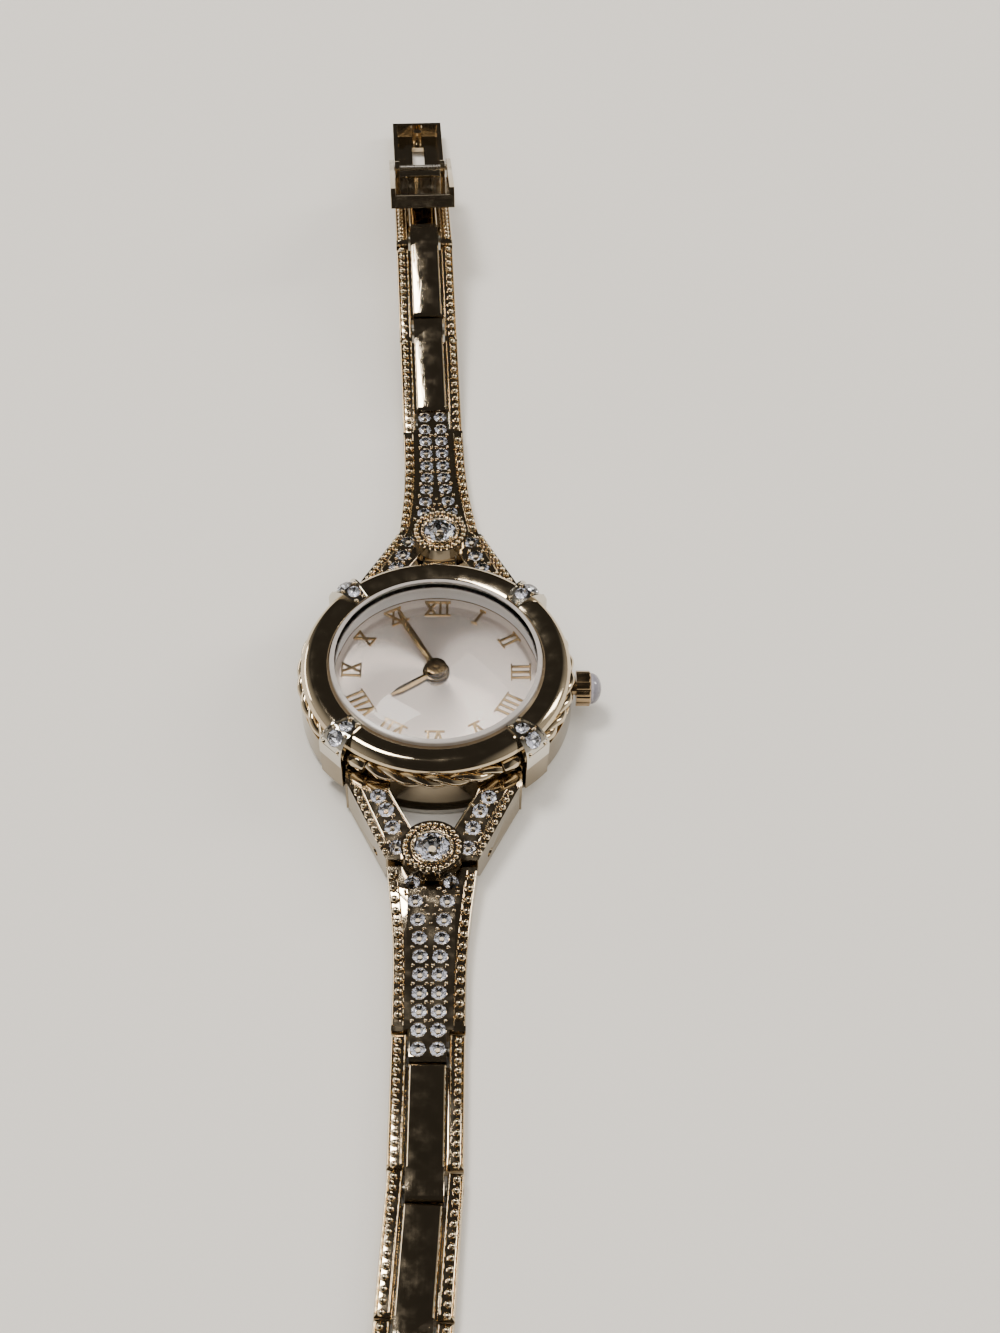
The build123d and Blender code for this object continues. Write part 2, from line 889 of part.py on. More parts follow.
def crown():
    """The fluted crown, hollow at its foot for the tube and the seal."""
    top = crown_length
    body = turned(
        Polyline(
            (0, 0, 0),
            (crown_radius, 0, 0),
            (crown_radius, 0, top - crown_bevel),
            (cabochon_radius, 0, top),
            (0, 0, top),
            close=True,
        )
    )
    flute = Pos(crown_radius + crown_flute_radius / 2, 0, -cut_over) * Cylinder(
        crown_flute_radius, top + 2 * cut_over, align=STAND
    )
    for i in range(crown_flutes):
        body = body - Rot(0, 0, 360 * i / crown_flutes) * flute
    body = body - disc(crown_tube_radius + crown_seal_width, -cut_over, crown_recess)
    return to_crown(crown_start) * body


def crown_cabochon():
    """The domed stone on the crown's end."""
    middle_x, drop = dome_middle(cabochon_radius, cabochon_height)
    middle = (middle_x, 0, cabochon_height - drop)
    dome = turned(
        Line((0, 0, 0), (cabochon_radius, 0, 0)),
        ThreePointArc((cabochon_radius, 0, 0), middle, (0, 0, cabochon_height)),
        Line((0, 0, cabochon_height), (0, 0, 0)),
    )
    return to_crown(crown_start + crown_length) * dome


def crown_tube():
    """The tube pressed into the case wall, which guides the stem."""
    end = crown_start + crown_recess - running_gap
    outer = rod(crown_tube_radius, cavity_radius, end, 0, crown_height)
    return outer - rod(crown_tube_radius - crown_tube_wall, 0, end + cut_over, 0, crown_height)


def crown_seal():
    """The seal ring inside the crown, round the tube."""
    start = crown_start + crown_seal_length / 2
    end = start + crown_seal_length
    outer = rod(crown_tube_radius + crown_seal_width, start, end, 0, crown_height)
    return outer - rod(crown_tube_radius + seat_gap, 0, end + cut_over, 0, crown_height)


def stem():
    """The winding stem, with the neck that the setting slide grips."""
    end = crown_start + crown_recess
    body = rod(stem_radius, stem_inner_end, end, 0, crown_height)
    neck_end = stem_neck_start + stem_neck_length
    neck = rod(stem_radius + cut_over, stem_neck_start, neck_end, 0, crown_height)
    neck = neck - rod(stem_neck_radius, 0, end, 0, crown_height)
    return body - neck


def setting_slide():
    """The little plate that follows the stem in and out and doesn't turn."""
    x0 = stem_neck_start + running_gap
    half = slide_width / 2
    plate = bar(x0, x0 + slide_thickness, -half, half, crown_height - slide_height, crown_height)
    grip = stem_neck_radius + running_gap
    plate = plate - rod(grip, 0, case_radius, 0, crown_height)
    return plate


# Bracelet pieces, each in its own frame: its pin is along X at y = 0, and +Y leads away from the case

def arm_top_at(y):
    """The height of a yoke arm's top at the distance y from the case axis."""
    start = case_radius
    end = case_radius + arm_end_reach
    share = min(max((y - start) / (end - start), 0), 1)
    return arm_top + (arm_end_top - arm_top) * share


def arm_inner_edge(y):
    """The arm's inner edge at the distance y from the case axis."""
    share = (y - case_radius - arm_knee_reach) / (arm_throat_reach - arm_knee_reach)
    return arm_root_inner_half + (arm_inner_half - arm_root_inner_half) * min(max(share, 0), 1)


def arm_outer_edge(y):
    """The arm's outer edge at the distance y from the case axis."""
    share = (y - case_radius - arm_root_reach) / (arm_end_reach - arm_root_reach)
    return arm_root_half + (arm_end_half - arm_root_half) * min(max(share, 0), 1)


def arm_stone_places():
    """The stones along one arm, from the case to the round setting."""
    places = []
    for along_share, across_share in arm_stone_shares:
        y = case_radius + arm_stone_first + arm_stone_span * along_share
        inner = arm_inner_edge(y)
        places.append((inner + across_share * (arm_outer_edge(y) - inner), y))
    return places


def yoke_arm():
    """The arm on the +X side."""
    base = case_radius
    knee_inner = base + arm_knee_reach
    points = (
        (arm_root_half + arm_pillar_gap, base - arm_run_in),
        (arm_root_half + arm_pillar_gap, base + arm_root_reach),
        (arm_root_half, base + arm_root_reach),
        (arm_end_half, base + arm_end_reach),
        (arm_inner_half, base + arm_end_reach),
        (arm_inner_half, base + arm_throat_reach),
        (arm_root_inner_half, knee_inner),
        (arm_root_inner_half, base - arm_run_in),
    )
    plan = standing(points, arm_bottom, arm_top)
    side = across(
        (
            (0, 0),
            (yoke_pin_place, 0),
            (base + arm_end_reach, 0),
            (base + arm_end_reach, arm_end_top),
            (base, arm_top),
            (0, arm_top),
        ),
        pillar_radius,
    )
    arm = plan & side
    arm = arm - disc(recess_radius, 0, arm_top + cut_over)
    arm = arm - disc(back_radius + seat_gap, 0, case_base_z)
    return arm - arm_heel_cut()


def arm_heel_cut():
    """What is taken off below the pin, so that the arms' ends are round about it."""
    radius = arm_end_reach - yoke_pin_reach
    end = yoke_pin_place + radius + cut_over
    block = bar(-pillar_radius, pillar_radius, yoke_pin_place, end, -cut_over, yoke_pin_height)
    reach = pillar_radius + cut_over
    return block - rod(radius, -reach, reach, yoke_pin_place, yoke_pin_height)


def pillar_clear():
    """Room beside the two pillars that flank a yoke."""
    low = -cut_over
    high = case_top_z + cut_over
    cuts = []
    for a in (corner_angle, 180 - corner_angle):
        cuts.append(Rot(0, 0, a) * corner_wedge(low, high))
    return fused(cuts)


def yoke():
    """Two arms and the round setting that bridges them."""
    arms = fused(mirrored(yoke_arm()))
    surface = setting_bottom + setting_height
    drum = Pos(0, setting_place, 0) * disc(setting_radius, setting_bottom, surface)
    body = arms - pillar_clear() + drum
    body = body - stone_seat(setting_stone_radius, 0, setting_place, surface)
    for x, y in arm_stone_places():
        for side_x in (-x, x):
            body = body - stone_seat(arm_stone_radius, side_x, y, arm_top_at(y))
    hole = rod(pin_radius, -pillar_radius, pillar_radius, yoke_pin_place, yoke_pin_height)
    return body - hole


def yoke_crystals():
    """The round stone and the four stones of each arm."""
    surface = setting_bottom + setting_height
    stones = [stone(setting_stone_radius, 0, setting_place, surface)]
    for x, y in arm_stone_places():
        for side_x in (-x, x):
            stones.append(stone(arm_stone_radius, side_x, y, arm_top_at(y)))
    return stones


def yoke_pin():
    """The pin through the arms."""
    half = arm_outer_edge(yoke_pin_place) - yoke_pin_recess
    return rod(pin_radius, -half, half, yoke_pin_place, yoke_pin_height)


def pave_top_at(y):
    """The height of the pave band at the distance y from the link's own pin."""
    share = min(max((pave_level_reach - y) / (pave_level_reach - pave_start), 0), 1)
    return link_top + (pave_start_top - link_top) * share * share


def pave_side(start, end, drop):
    """The side outline of the pave link's body, its top lowered by drop."""
    points = [(start, 0), (end, 0), (end, link_top - drop)]
    for i in range(pave_side_steps + 1):
        y = pave_level_reach - (pave_level_reach - start) * i / pave_side_steps
        points.append((y, pave_top_at(y) - drop))
    return points


def pave_plan():
    """The waisted plan of the pave link."""
    end = pave_pin_pitch + fork_reach
    waist_end = pave_level_reach + pave_start
    start = (pave_start_half, pave_start, 0)
    waist = (pave_waist_half, pave_waist_reach, 0)
    level = (link_half, waist_end, 0)
    flank = Spline(start, waist, level)
    edges = [
        flank,
        Line(level, (link_half, end, 0)),
        Line((link_half, end, 0), (-link_half, end, 0)),
        Line((-link_half, end, 0), (-link_half, waist_end, 0)),
        mirror(flank, about=Plane.YZ),
        Line((-pave_start_half, pave_start, 0), start),
    ]
    face = make_face([e for item in edges for e in item.edges()])
    return extrude(face, amount=pave_start_top + cut_over, dir=(0, 0, 1))


def tongue(place, half, top):
    """The tongue that enters the next piece's fork, rounded about its pin below."""
    end = place + tongue_reach
    lower = across(((place, 0), (end, 0), (end, pin_height), (place, pin_height)), half)
    lower = lower & rod(tongue_reach, -half, half, place, pin_height)
    upper = across(
        (
            (place - fork_reach - rail_gap, 0),
            (place, 0),
            (place, pin_height),
            (end, pin_height),
            (end, top - block_end_bevel),
            (end - block_end_bevel, top),
            (place - fork_reach - rail_gap, top),
        ),
        half,
    )
    solid = upper + lower
    return solid - rod(bore_radius, -half - cut_over, half + cut_over, place, pin_height)


def pave_link():
    """The stone-set link beside the yoke."""
    rail_end = pave_pin_pitch - fork_reach - rail_gap
    body = across(pave_side(pave_start, rail_end, pave_band_rise), pillar_radius)
    band = across(pave_side(pave_start, rail_end, 0), pave_band_half)
    body = (body & pave_plan()) + band
    neck_top = yoke_pin_height + knuckle_radius
    neck = bar(-knuckle_half, knuckle_half, 0, pave_start, pave_neck_bottom, neck_top)
    barrel = rod(knuckle_radius, -knuckle_half, knuckle_half, 0, yoke_pin_height)
    body = body + neck + barrel
    body = body - rod(bore_radius, -pillar_radius, pillar_radius, 0, yoke_pin_height)
    body = body + tongue(pave_pin_pitch, block_half, link_top)
    for x, y in pave_stone_places():
        body = body - stone_seat(pave_stone_radius, x, y, pave_top_at(y))
    return body


def pave_stone_places():
    """Two columns of stones that spread towards the case."""
    places = []
    for i in range(pave_stone_count):
        near = max(1 - i / pave_stone_spread_count, 0)
        x = pave_stone_far + (pave_stone_near - pave_stone_far) * near * near
        y = pave_stone_first + i * pave_stone_pitch
        places.append((-x, y))
        places.append((x, y))
    return places


def pave_crystals():
    """The stones of the pave link."""
    return [stone(pave_stone_radius, x, y, pave_top_at(y)) for x, y in pave_stone_places()]


def rail(end):
    """One rail on the +X side: a bevelled bar whose case-side end is rounded about its pin."""
    inner = block_half + groove
    heel = math.sqrt(fork_reach ** 2 - pin_height ** 2)
    side = across(
        (
            (-heel, 0),
            (end, 0),
            (end, rail_top - rail_bevel),
            (end - rail_bevel, rail_top),
            (rail_bevel - fork_reach, rail_top),
            (-fork_reach, rail_top - rail_bevel),
            (-fork_reach, pin_height),
        ),
        link_half,
    )
    section = outline(
        (
            (inner, 0),
            (link_half, 0),
            (link_half, rail_top - rail_bevel),
            (link_half - rail_bevel, rail_top),
            (inner, rail_top),
        )
    )
    length = end + 2 * fork_reach
    bar_x = extrude(Pos(0, -fork_reach - cut_over, 0) * section, amount=length, dir=(0, 1, 0))
    return side & bar_x


def centre_block(start, end):
    """The raised block between the rails, with bevelled edges."""
    side = across(
        (
            (start, 0),
            (end, 0),
            (end, link_top),
            (start + block_end_bevel, link_top),
            (start, link_top - block_end_bevel),
        ),
        block_half,
    )
    section = outline(
        (
            (-block_half, 0),
            (block_half, 0),
            (block_half, link_top - block_bevel),
            (block_half - block_bevel, link_top),
            (block_bevel - block_half, link_top),
            (-block_half, link_top - block_bevel),
        )
    )
    return side & extrude(Pos(0, start, 0) * section, amount=end - start, dir=(0, 1, 0))


def plain_link():
    """A link of two rails and a centre block that ends in the tongue."""
    rail_end = link_pitch - fork_reach - rail_gap
    block_start = tongue_reach + tongue_gap
    body = centre_block(block_start, rail_end)
    web_half = link_half - rail_bevel
    web = bar(-web_half, web_half, block_start, rail_end, web_bottom, web_top)
    body = fused([body, web] + mirrored(rail(rail_end)))
    body = body + tongue(link_pitch, block_half, link_top)
    return body - rod(pin_radius, -link_half - cut_over, link_half + cut_over, 0, pin_height)


def link_pin():
    """The pin that holds a piece's fork to the tongue before it."""
    half = link_half - pin_end_recess
    return rod(pin_radius, -half, half, 0, pin_height)


def extension_ladder():
    """The slotted end piece that the clasp's post hooks into."""
    body = bar(-ladder_half, ladder_half, tongue_reach + tongue_gap, ladder_length, 0, ladder_thickness)
    fork_start = tongue_reach + tongue_gap
    cheeks = mirrored(rail(fork_start + fork_reach))
    shoulder_half = link_half - rail_bevel
    shoulder = bar(-shoulder_half, shoulder_half, fork_start, fork_start + fork_reach, 0, web_top)
    body = fused([body, shoulder] + cheeks)
    for i in range(ladder_slot_count):
        y0 = ladder_slot_first + fork_reach + i * ladder_slot_pitch - ladder_slot_width / 2
        y1 = y0 + ladder_slot_width
        high = ladder_thickness + cut_over
        body = body - bar(-ladder_slot_half, ladder_slot_half, y0, y1, -cut_over, high)
    return body - rod(pin_radius, -link_half - cut_over, link_half + cut_over, 0, pin_height)


def clasp_frame():
    """The open tray of the clasp, with a window in its floor and the hooking post."""
    inner = frame_half - frame_wall
    start = tongue_reach + tongue_gap
    heel = math.sqrt(fork_reach ** 2 - pin_height ** 2)
    side = across(
        (
            (-heel, 0),
            (frame_length, 0),
            (frame_length, frame_height),
            (rail_bevel - fork_reach, frame_height),
            (-fork_reach, frame_height - rail_bevel),
            (-fork_reach, pin_height),
        ),
        frame_half,
    )
    fork_half = block_half + groove
    high = frame_height + cut_over
    fork_room = bar(-fork_half, fork_half, -fork_reach - cut_over, start, -cut_over, high)
    tray_room = bar(-inner, inner, frame_block_end, frame_length - frame_wall, frame_floor, high)
    half = frame_window_half
    window = bar(-half, half, frame_window_start, frame_window_end, -cut_over, frame_height)
    body = side - fork_room - tray_room - window
    post_top = frame_floor + frame_post_height
    post = Pos(0, frame_post_place, 0) * disc(frame_post_radius, frame_floor, post_top)
    ear_low = frame_height - cover_ear_radius
    ear = rod(cover_ear_radius, -frame_half, -inner, cover_pin_reach, cover_pin_height)
    ear_start = cover_pin_reach - cover_ear_radius
    ear_end = cover_pin_reach + cover_ear_radius
    ear = ear + bar(-frame_half, -inner, ear_start, ear_end, ear_low, cover_pin_height)
    body = fused([body, post] + mirrored(ear))
    reach = frame_half + cut_over
    body = body - rod(cover_pin_radius + running_gap, -reach, reach, cover_pin_reach, cover_pin_height)
    return body - rod(pin_radius, -reach, reach, 0, pin_height)


def clasp_pin():
    """The pin of the clasp frame's fork."""
    half = frame_half - pin_end_recess
    return rod(pin_radius, -half, half, 0, pin_height)


def cover_half():
    """Half the width of the clasp cover."""
    return frame_half + cover_gap + cover_wall


def clasp_cover():
    """The hinged cover, drawn closed about its own pin: a plate between two skirts."""
    inner = frame_half + cover_gap
    outer = cover_half()
    top = cover_plate_lift + cover_plate
    plate = bar(-outer, outer, cover_plate_start, cover_length, cover_plate_lift, top)
    side = across(
        (
            (0, -cover_nose),
            (cover_skirt_start, -cover_skirt),
            (cover_length, -cover_skirt),
            (cover_length, top),
            (0, top),
        ),
        outer,
    )
    skirt = side & bar(-outer, -inner, 0, cover_length, -cover_skirt, top)
    nose = rod(cover_nose, -outer, -inner, 0, 0)
    skirts = mirrored(skirt + nose)
    end_wall = bar(-outer, outer, cover_length, cover_length + cover_wall, -cover_skirt / 2, top)
    body = fused([plate, end_wall] + skirts)
    return body - rod(cover_pin_radius, -outer - cut_over, outer + cut_over, 0, 0)


def cover_pin():
    """The cover's pin, in the cover's own frame."""
    half = cover_half() - pin_end_recess
    return rod(cover_pin_radius, -half, half, 0, 0)


# How the bracelet hangs together

def hinge_step(place, reach, low, high, rise, turn):
    """The frame of the next piece: out to its pin, then turned and raised about it."""
    to_pin = Pos(0, reach, high) * Rot(0, 0, turn) * Rot(rise, 0, 0) * Pos(0, 0, -low)
    return place * to_pin


def side_frames(side, turns, rises):
    """The frames of the pave link and the three plain links of one side."""
    places = [hinge_step(side, yoke_pin_place, yoke_pin_height, yoke_pin_height, rises[0], turns[0])]
    for i, pitch in ((1, pave_pin_pitch), (2, link_pitch), (3, link_pitch)):
        rise = rises[i] - rises[i - 1]
        places.append(hinge_step(places[-1], pitch, pin_height, pin_height, rise, turns[i]))
    return places


def resting_rise(height):
    """The slope at which the clasp frame's far foot meets the surface below its pin."""
    reach = math.hypot(frame_length, pin_height)
    return -math.degrees(math.asin(height / reach) - math.atan2(pin_height, frame_length))


def point_in(place, y, z):
    """Where a point of a piece's middle plane lies in the whole watch."""
    return (place * Pos(0, y, z)).position


def tell(name, place, y, z):
    """Prints a hinge's place and axis. A positive turn folds towards the wrist."""
    point = point_in(place, y, z)
    end = (place * Pos(-1, y, z)).position
    axis = end - point
    print(name, *[round(v, 6) for v in (*point, *axis)])


def save_case():
    """Writes the case, the dial, the movement and the crown."""
    pieces = {
        "case_body": case_body(),
        "case_back": case_back(),
        "case_back_gasket": case_back_gasket(),
        "bezel": bezel(),
        "bezel_claws": bezel_claws(),
        "claw_crystals": claw_crystals(),
        "rope_ring": rope_ring(),
        "crystal": crystal(),
        "crystal_gasket": crystal_gasket(),
        "dial": dial(),
        "dial_numerals": dial_numerals(),
        "minute_hand": minute_hand(),
        "hour_hand": hour_hand(),
        "cannon_pinion": cannon_pinion(),
        "hour_wheel": hour_wheel(),
        "minute_wheel": minute_wheel(),
        "movement_plate": movement_plate(),
        "movement_holder": movement_holder(),
        "circuit_board": circuit_board(),
        "train_bridge": train_bridge(),
        "battery": battery(),
        "battery_strap": battery_strap(),
        "coil": coil(),
        "coil_core": coil_core(),
        "crown": crown(),
        "crown_cabochon": crown_cabochon(),
        "crown_tube": crown_tube(),
        "crown_seal": crown_seal(),
        "stem": stem(),
        "setting_slide": setting_slide(),
    }
    for name, shape in pieces.items():
        save(name, shape)


def save_side(prefix, side, places):
    """Writes the yoke, the pave link, the plain links and their pins of one side."""
    save(f"{prefix}_yoke", side * yoke())
    save(f"{prefix}_yoke_crystals", [side * s for s in yoke_crystals()])
    save(f"{prefix}_yoke_pin", side * yoke_pin())
    save(f"{prefix}_pave_link", places[0] * pave_link())
    save(f"{prefix}_pave_crystals", [places[0] * s for s in pave_crystals()])
    tell(f"{prefix}_pave_hinge", places[0], 0, yoke_pin_height)
    for i in (1, 2, 3):
        save(f"{prefix}_link_{i}", places[i] * plain_link())
        save(f"{prefix}_link_{i}_pin", places[i] * link_pin())
        tell(f"{prefix}_link_{i}_hinge", places[i], 0, pin_height)


def save_ends(near_last, far_last, far_rise):
    """Writes the ladder and the clasp at the two ends."""
    ladder_place = hinge_step(near_last, link_pitch, pin_height, pin_height, 0, near_turn_angles[4])
    save("extension_ladder", ladder_place * extension_ladder())
    save("extension_ladder_pin", ladder_place * link_pin())
    tell("ladder_hinge", ladder_place, 0, pin_height)
    slope = resting_rise(point_in(far_last, link_pitch, pin_height).Z)
    turn = far_turn_angles[4]
    frame_place = hinge_step(far_last, link_pitch, pin_height, pin_height, slope - far_rise, turn)
    save("clasp_frame", frame_place * clasp_frame())
    save("clasp_frame_pin", frame_place * clasp_pin())
    tell("clasp_hinge", frame_place, 0, pin_height)
    cover_place = frame_place * Pos(0, cover_pin_reach, cover_pin_height) * Rot(cover_open_turn, 0, 0)
    save("clasp_cover", cover_place * clasp_cover())
    save("clasp_cover_pin", cover_place * cover_pin())
    tell("cover_hinge", cover_place, 0, 0)
    print("clasp frame slope", round(slope, 4))


def main():
    """Builds the whole watch."""
    near_side = Rot(0, 0, 180)
    far_side = Rot(0, 0, 0)
    near_places = side_frames(near_side, near_turn_angles, (0, 0, 0, 0))
    far_places = side_frames(far_side, far_turn_angles, far_slope_angles)
    save_case()
    save_side("lower", near_side, near_places)
    save_side("upper", far_side, far_places)
    save_ends(near_places[-1], far_places[-1], far_slope_angles[-1])


main()
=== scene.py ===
import json
import math

import bmesh
import bpy
from mathutils import Matrix, Vector
from mathutils.bvhtree import BVHTree


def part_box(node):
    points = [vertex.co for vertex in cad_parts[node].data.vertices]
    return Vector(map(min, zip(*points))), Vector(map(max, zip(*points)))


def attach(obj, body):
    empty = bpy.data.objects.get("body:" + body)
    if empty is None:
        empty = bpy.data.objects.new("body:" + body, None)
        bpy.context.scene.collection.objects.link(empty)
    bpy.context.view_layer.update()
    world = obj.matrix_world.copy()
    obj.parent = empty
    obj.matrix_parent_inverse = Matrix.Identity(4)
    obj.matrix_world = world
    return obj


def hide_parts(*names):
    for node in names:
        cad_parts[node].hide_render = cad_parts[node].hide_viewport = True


bl_info = {
    "name": "Bracelet watch",
    "version": (1, 0, 0),
    "blender": (4, 5, 0),
    "location": "View3D > Sidebar > Watch",
    "description": "Dresses a packed bracelet watch with polished, beaded and stone-set pieces",
    "category": "Object",
}

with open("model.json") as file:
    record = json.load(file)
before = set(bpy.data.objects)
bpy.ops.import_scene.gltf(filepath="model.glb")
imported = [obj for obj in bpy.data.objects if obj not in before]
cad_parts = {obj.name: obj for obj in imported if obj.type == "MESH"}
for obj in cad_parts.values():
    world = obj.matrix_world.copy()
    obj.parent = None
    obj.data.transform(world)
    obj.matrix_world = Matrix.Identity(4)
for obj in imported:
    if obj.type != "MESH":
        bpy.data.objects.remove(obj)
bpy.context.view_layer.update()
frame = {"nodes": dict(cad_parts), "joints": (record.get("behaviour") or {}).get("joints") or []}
hinges = {joint["name"]: joint for joint in frame["joints"]}

MM = 0.001

# The case, in millimetres. The rope, the glass and the claws' brows are the visual model's own
case_radius = 11.9
case_top_z = 4.15
rope_ring_radius = 11.46
rope_z = 4.75
rope_radius = 0.66
corner_angle = 45.5
pillar_radius = 12.5
bezel_radius = 11.7
bezel_top_z = 6.8
bezel_crest_radius = 10.62
bezel_shoulder_z = 5.7
bezel_inner_radius = 9.2
glass_z = 5.55
glass_radius = 9.19
glass_ring_radius = 8.8
glass_foot_radius = 8.6
glass_edge_z = 6.95
glass_top_z = 7.45
glass_under_z = 6.5
glass_dome_in = 0.12
# Points of the glass's rounded edge: how far they lie in and down
glass_edge = ((0.05, 0.03), (0.01, 0.08), (0.0, 0.16))
claw_inner_radius = 9.35
claw_inner_width = 1.45
claw_outer_width = 2.65
claw_proud = 0.3
claw_brow_radius = 11.95
claw_brow_drop = 0.45
claw_inner_drop = 0.25
claw_slope_reach = 0.06
claw_toe_z = 5.65
dial_top_z = 4.65
pin_height = 0.95
yoke_pin_height = 1.35
link_half = 2.92

# How solids are copied: points nearer than this are one, and flatter edges than this go
weld = 0.002 * MM
flat_angle = math.radians(1.5)
# Edges sharper than the first are rounded, and faces that meet sharper than the second look creased
round_angle = math.radians(30)
crease = 18
# Faces of a dressed solid count as walls, which take the darker painted-shade gold, where their normal rises
# less than this
upright_share = 0.35


# Places in the watch

def frame_from(point, x_axis, y_axis):
    """A matrix, in metres, with its origin at point and its X and Y along the two axes."""
    x = Vector(x_axis).normalized()
    y = Vector(y_axis)
    y = (y - x * y.dot(x)).normalized()
    z = x.cross(y)
    matrix = Matrix((x, y, z)).transposed().to_4x4()
    return Matrix.Translation(Vector(point)) @ matrix


def piece_frame(hinge, height, along=None):
    """The frame in which a strap piece was drawn: its pin is along X, height above its underside."""
    joint = hinges[hinge]
    x = -Vector(joint["axis"])
    if along is None:
        y = Vector((0, 0, 1)).cross(x)
    else:
        y = Vector(hinges[along]["pos_m"]) - Vector(joint["pos_m"])
    here = frame_from(joint["pos_m"], x, y)
    return here @ Matrix.Translation((0, 0, -height * MM))


def strap_frames(side, last):
    """The frames of the pave link and the three plain links of one side."""
    frames = [piece_frame(f"{side}_pave_hinge", yoke_pin_height)]
    names = [f"{side}_link_{i}_hinge" for i in (1, 2, 3)] + [last]
    for here, after in zip(names, names[1:]):
        frames.append(piece_frame(here, pin_height, after))
    return frames


strap_places = {
    "lower": strap_frames("lower", "ladder_hinge"),
    "upper": strap_frames("upper", "clasp_hinge"),
}
side_places = {"lower": Matrix.Rotation(math.pi, 4, "Z"), "upper": Matrix.Identity(4)}


# Sizes and colours that can be set

def length_setting(name, description, default, low):
    """A length that can be set, given in millimetres."""
    return bpy.props.FloatProperty(
        name=name, description=description, default=default * MM, min=low * MM, unit="LENGTH"
    )


def colour_setting(name, description, default):
    """A colour that can be set."""
    return bpy.props.FloatVectorProperty(
        name=name, description=description, default=default, size=3, subtype="COLOR"
    )


class WatchSizes(bpy.types.PropertyGroup):
    """Sizes of the watch's small ornament."""

    bead_radius: length_setting("Bead radius", "Radius of the beads along the rails", 0.29, 0.05)
    rope_pitch: length_setting("Rope pitch", "Length in which a strand goes once round", 4.22, 0.5)
    edge_width: length_setting("Edge width", "Width of the rounded edges of the metal pieces", 0.07, 0.0)
    stone_scale: bpy.props.FloatProperty(
        name="Stone scale",
        description="Size of the visible stones against their seats",
        default=1.0,
        min=0.5,
        max=1.2,
        subtype="FACTOR",
    )


class WatchColours(bpy.types.PropertyGroup):
    """Colours of the metals, the dial and the floor."""

    gold: colour_setting("Gold", "Colour of the pale polished metal", (0.66, 0.55, 0.39))
    crown_gold: colour_setting("Crown gold", "Colour of the crown", (0.40, 0.29, 0.17))
    hand_gold: colour_setting("Hand gold", "Colour of the hands and numerals", (0.42, 0.30, 0.16))
    dial: colour_setting("Dial", "Colour of the silvered dial", (0.86, 0.77, 0.71))
    floor: colour_setting("Floor", "Colour of the floor", (0.72, 0.70, 0.66))


# Materials

def new_material(name, metallic=0.0):
    """An empty material with its tree, its shader and its object coordinates."""
    material = bpy.data.materials.new(name)
    material.use_nodes = True
    tree = material.node_tree
    tree.nodes.clear()
    output = tree.nodes.new("ShaderNodeOutputMaterial")
    shader = tree.nodes.new("ShaderNodeBsdfPrincipled")
    shader.inputs["Metallic"].default_value = metallic
    tree.links.new(shader.outputs[0], output.inputs[0])
    place = tree.nodes.new("ShaderNodeTexCoord")
    return material, tree, shader, place.outputs["Object"]


def reckoned(tree, operation, *values):
    """The result of a sum on sockets and numbers."""
    node = tree.nodes.new("ShaderNodeMath")
    node.operation = operation
    for value, socket in zip(values, node.inputs):
        if isinstance(value, bpy.types.NodeSocket):
            tree.links.new(value, socket)
        else:
            socket.default_value = value
    return node.outputs[0]


def noise(tree, place, scale, detail=3.0, stretch=None):
    """A noise pattern at scale, drawn out along an axis where stretch says so."""
    source = place
    if stretch:
        mapping = tree.nodes.new("ShaderNodeMapping")
        mapping.inputs["Scale"].default_value = stretch
        tree.links.new(place, mapping.inputs["Vector"])
        source = mapping.outputs[0]
    pattern = tree.nodes.new("ShaderNodeTexNoise")
    pattern.inputs["Scale"].default_value = scale
    pattern.inputs["Detail"].default_value = detail
    tree.links.new(source, pattern.inputs["Vector"])
    return pattern.outputs[0]


def spread(tree, value, low, high, to_low, to_high):
    """The value, moved from one range to another."""
    node = tree.nodes.new("ShaderNodeMapRange")
    node.inputs["From Min"].default_value = low
    node.inputs["From Max"].default_value = high
    node.inputs["To Min"].default_value = to_low
    node.inputs["To Max"].default_value = to_high
    tree.links.new(value, node.inputs["Value"])
    return node.outputs[0]


def shades(tree, value, dark, light):
    """Two colours, mixed by the value."""
    mix = tree.nodes.new("ShaderNodeMix")
    mix.data_type = "RGBA"
    mix.inputs[6].default_value = (*dark, 1)
    mix.inputs[7].default_value = (*light, 1)
    tree.links.new(value, mix.inputs[0])
    return mix.outputs[2]


def bumped(tree, shader, height, distance):
    """A fine relief on the shader's surface."""
    bump = tree.nodes.new("ShaderNodeBump")
    bump.inputs["Strength"].default_value = 1.0
    bump.inputs["Distance"].default_value = distance
    tree.links.new(height, bump.inputs["Height"])
    tree.links.new(bump.outputs[0], shader.inputs["Normal"])


def times(colour, factor):
    """The colour, made lighter or darker."""
    return tuple(min(c * factor, 1.0) for c in colour)


def coloured(tree, shader, value, colour, dark, light):
    """A pattern of one colour, from its darker to its lighter strength."""
    shade = shades(tree, value, times(colour, dark), times(colour, light))
    tree.links.new(shade, shader.inputs["Base Color"])


def roughened(tree, shader, value, span, low, high):
    """A pattern of roughness over a span of the value."""
    tree.links.new(spread(tree, value, *span, low, high), shader.inputs["Roughness"])


def polished(name, colour, gloss, smudge, scratch=1.0):
    """Worn polished metal: a bright surface with soft smudges and fine scratches."""
    material, tree, shader, place = new_material(name, 1.0)
    coloured(tree, shader, noise(tree, place, 420.0, 4.0), colour, 0.86, 1.12)
    roughened(tree, shader, noise(tree, place, 900.0, 6.0), (0.42, 0.72), gloss, smudge)
    bumped(tree, shader, noise(tree, place, 2600.0, 2.0, (1.0, 0.08, 1.0)), 0.000004 * scratch)
    return material


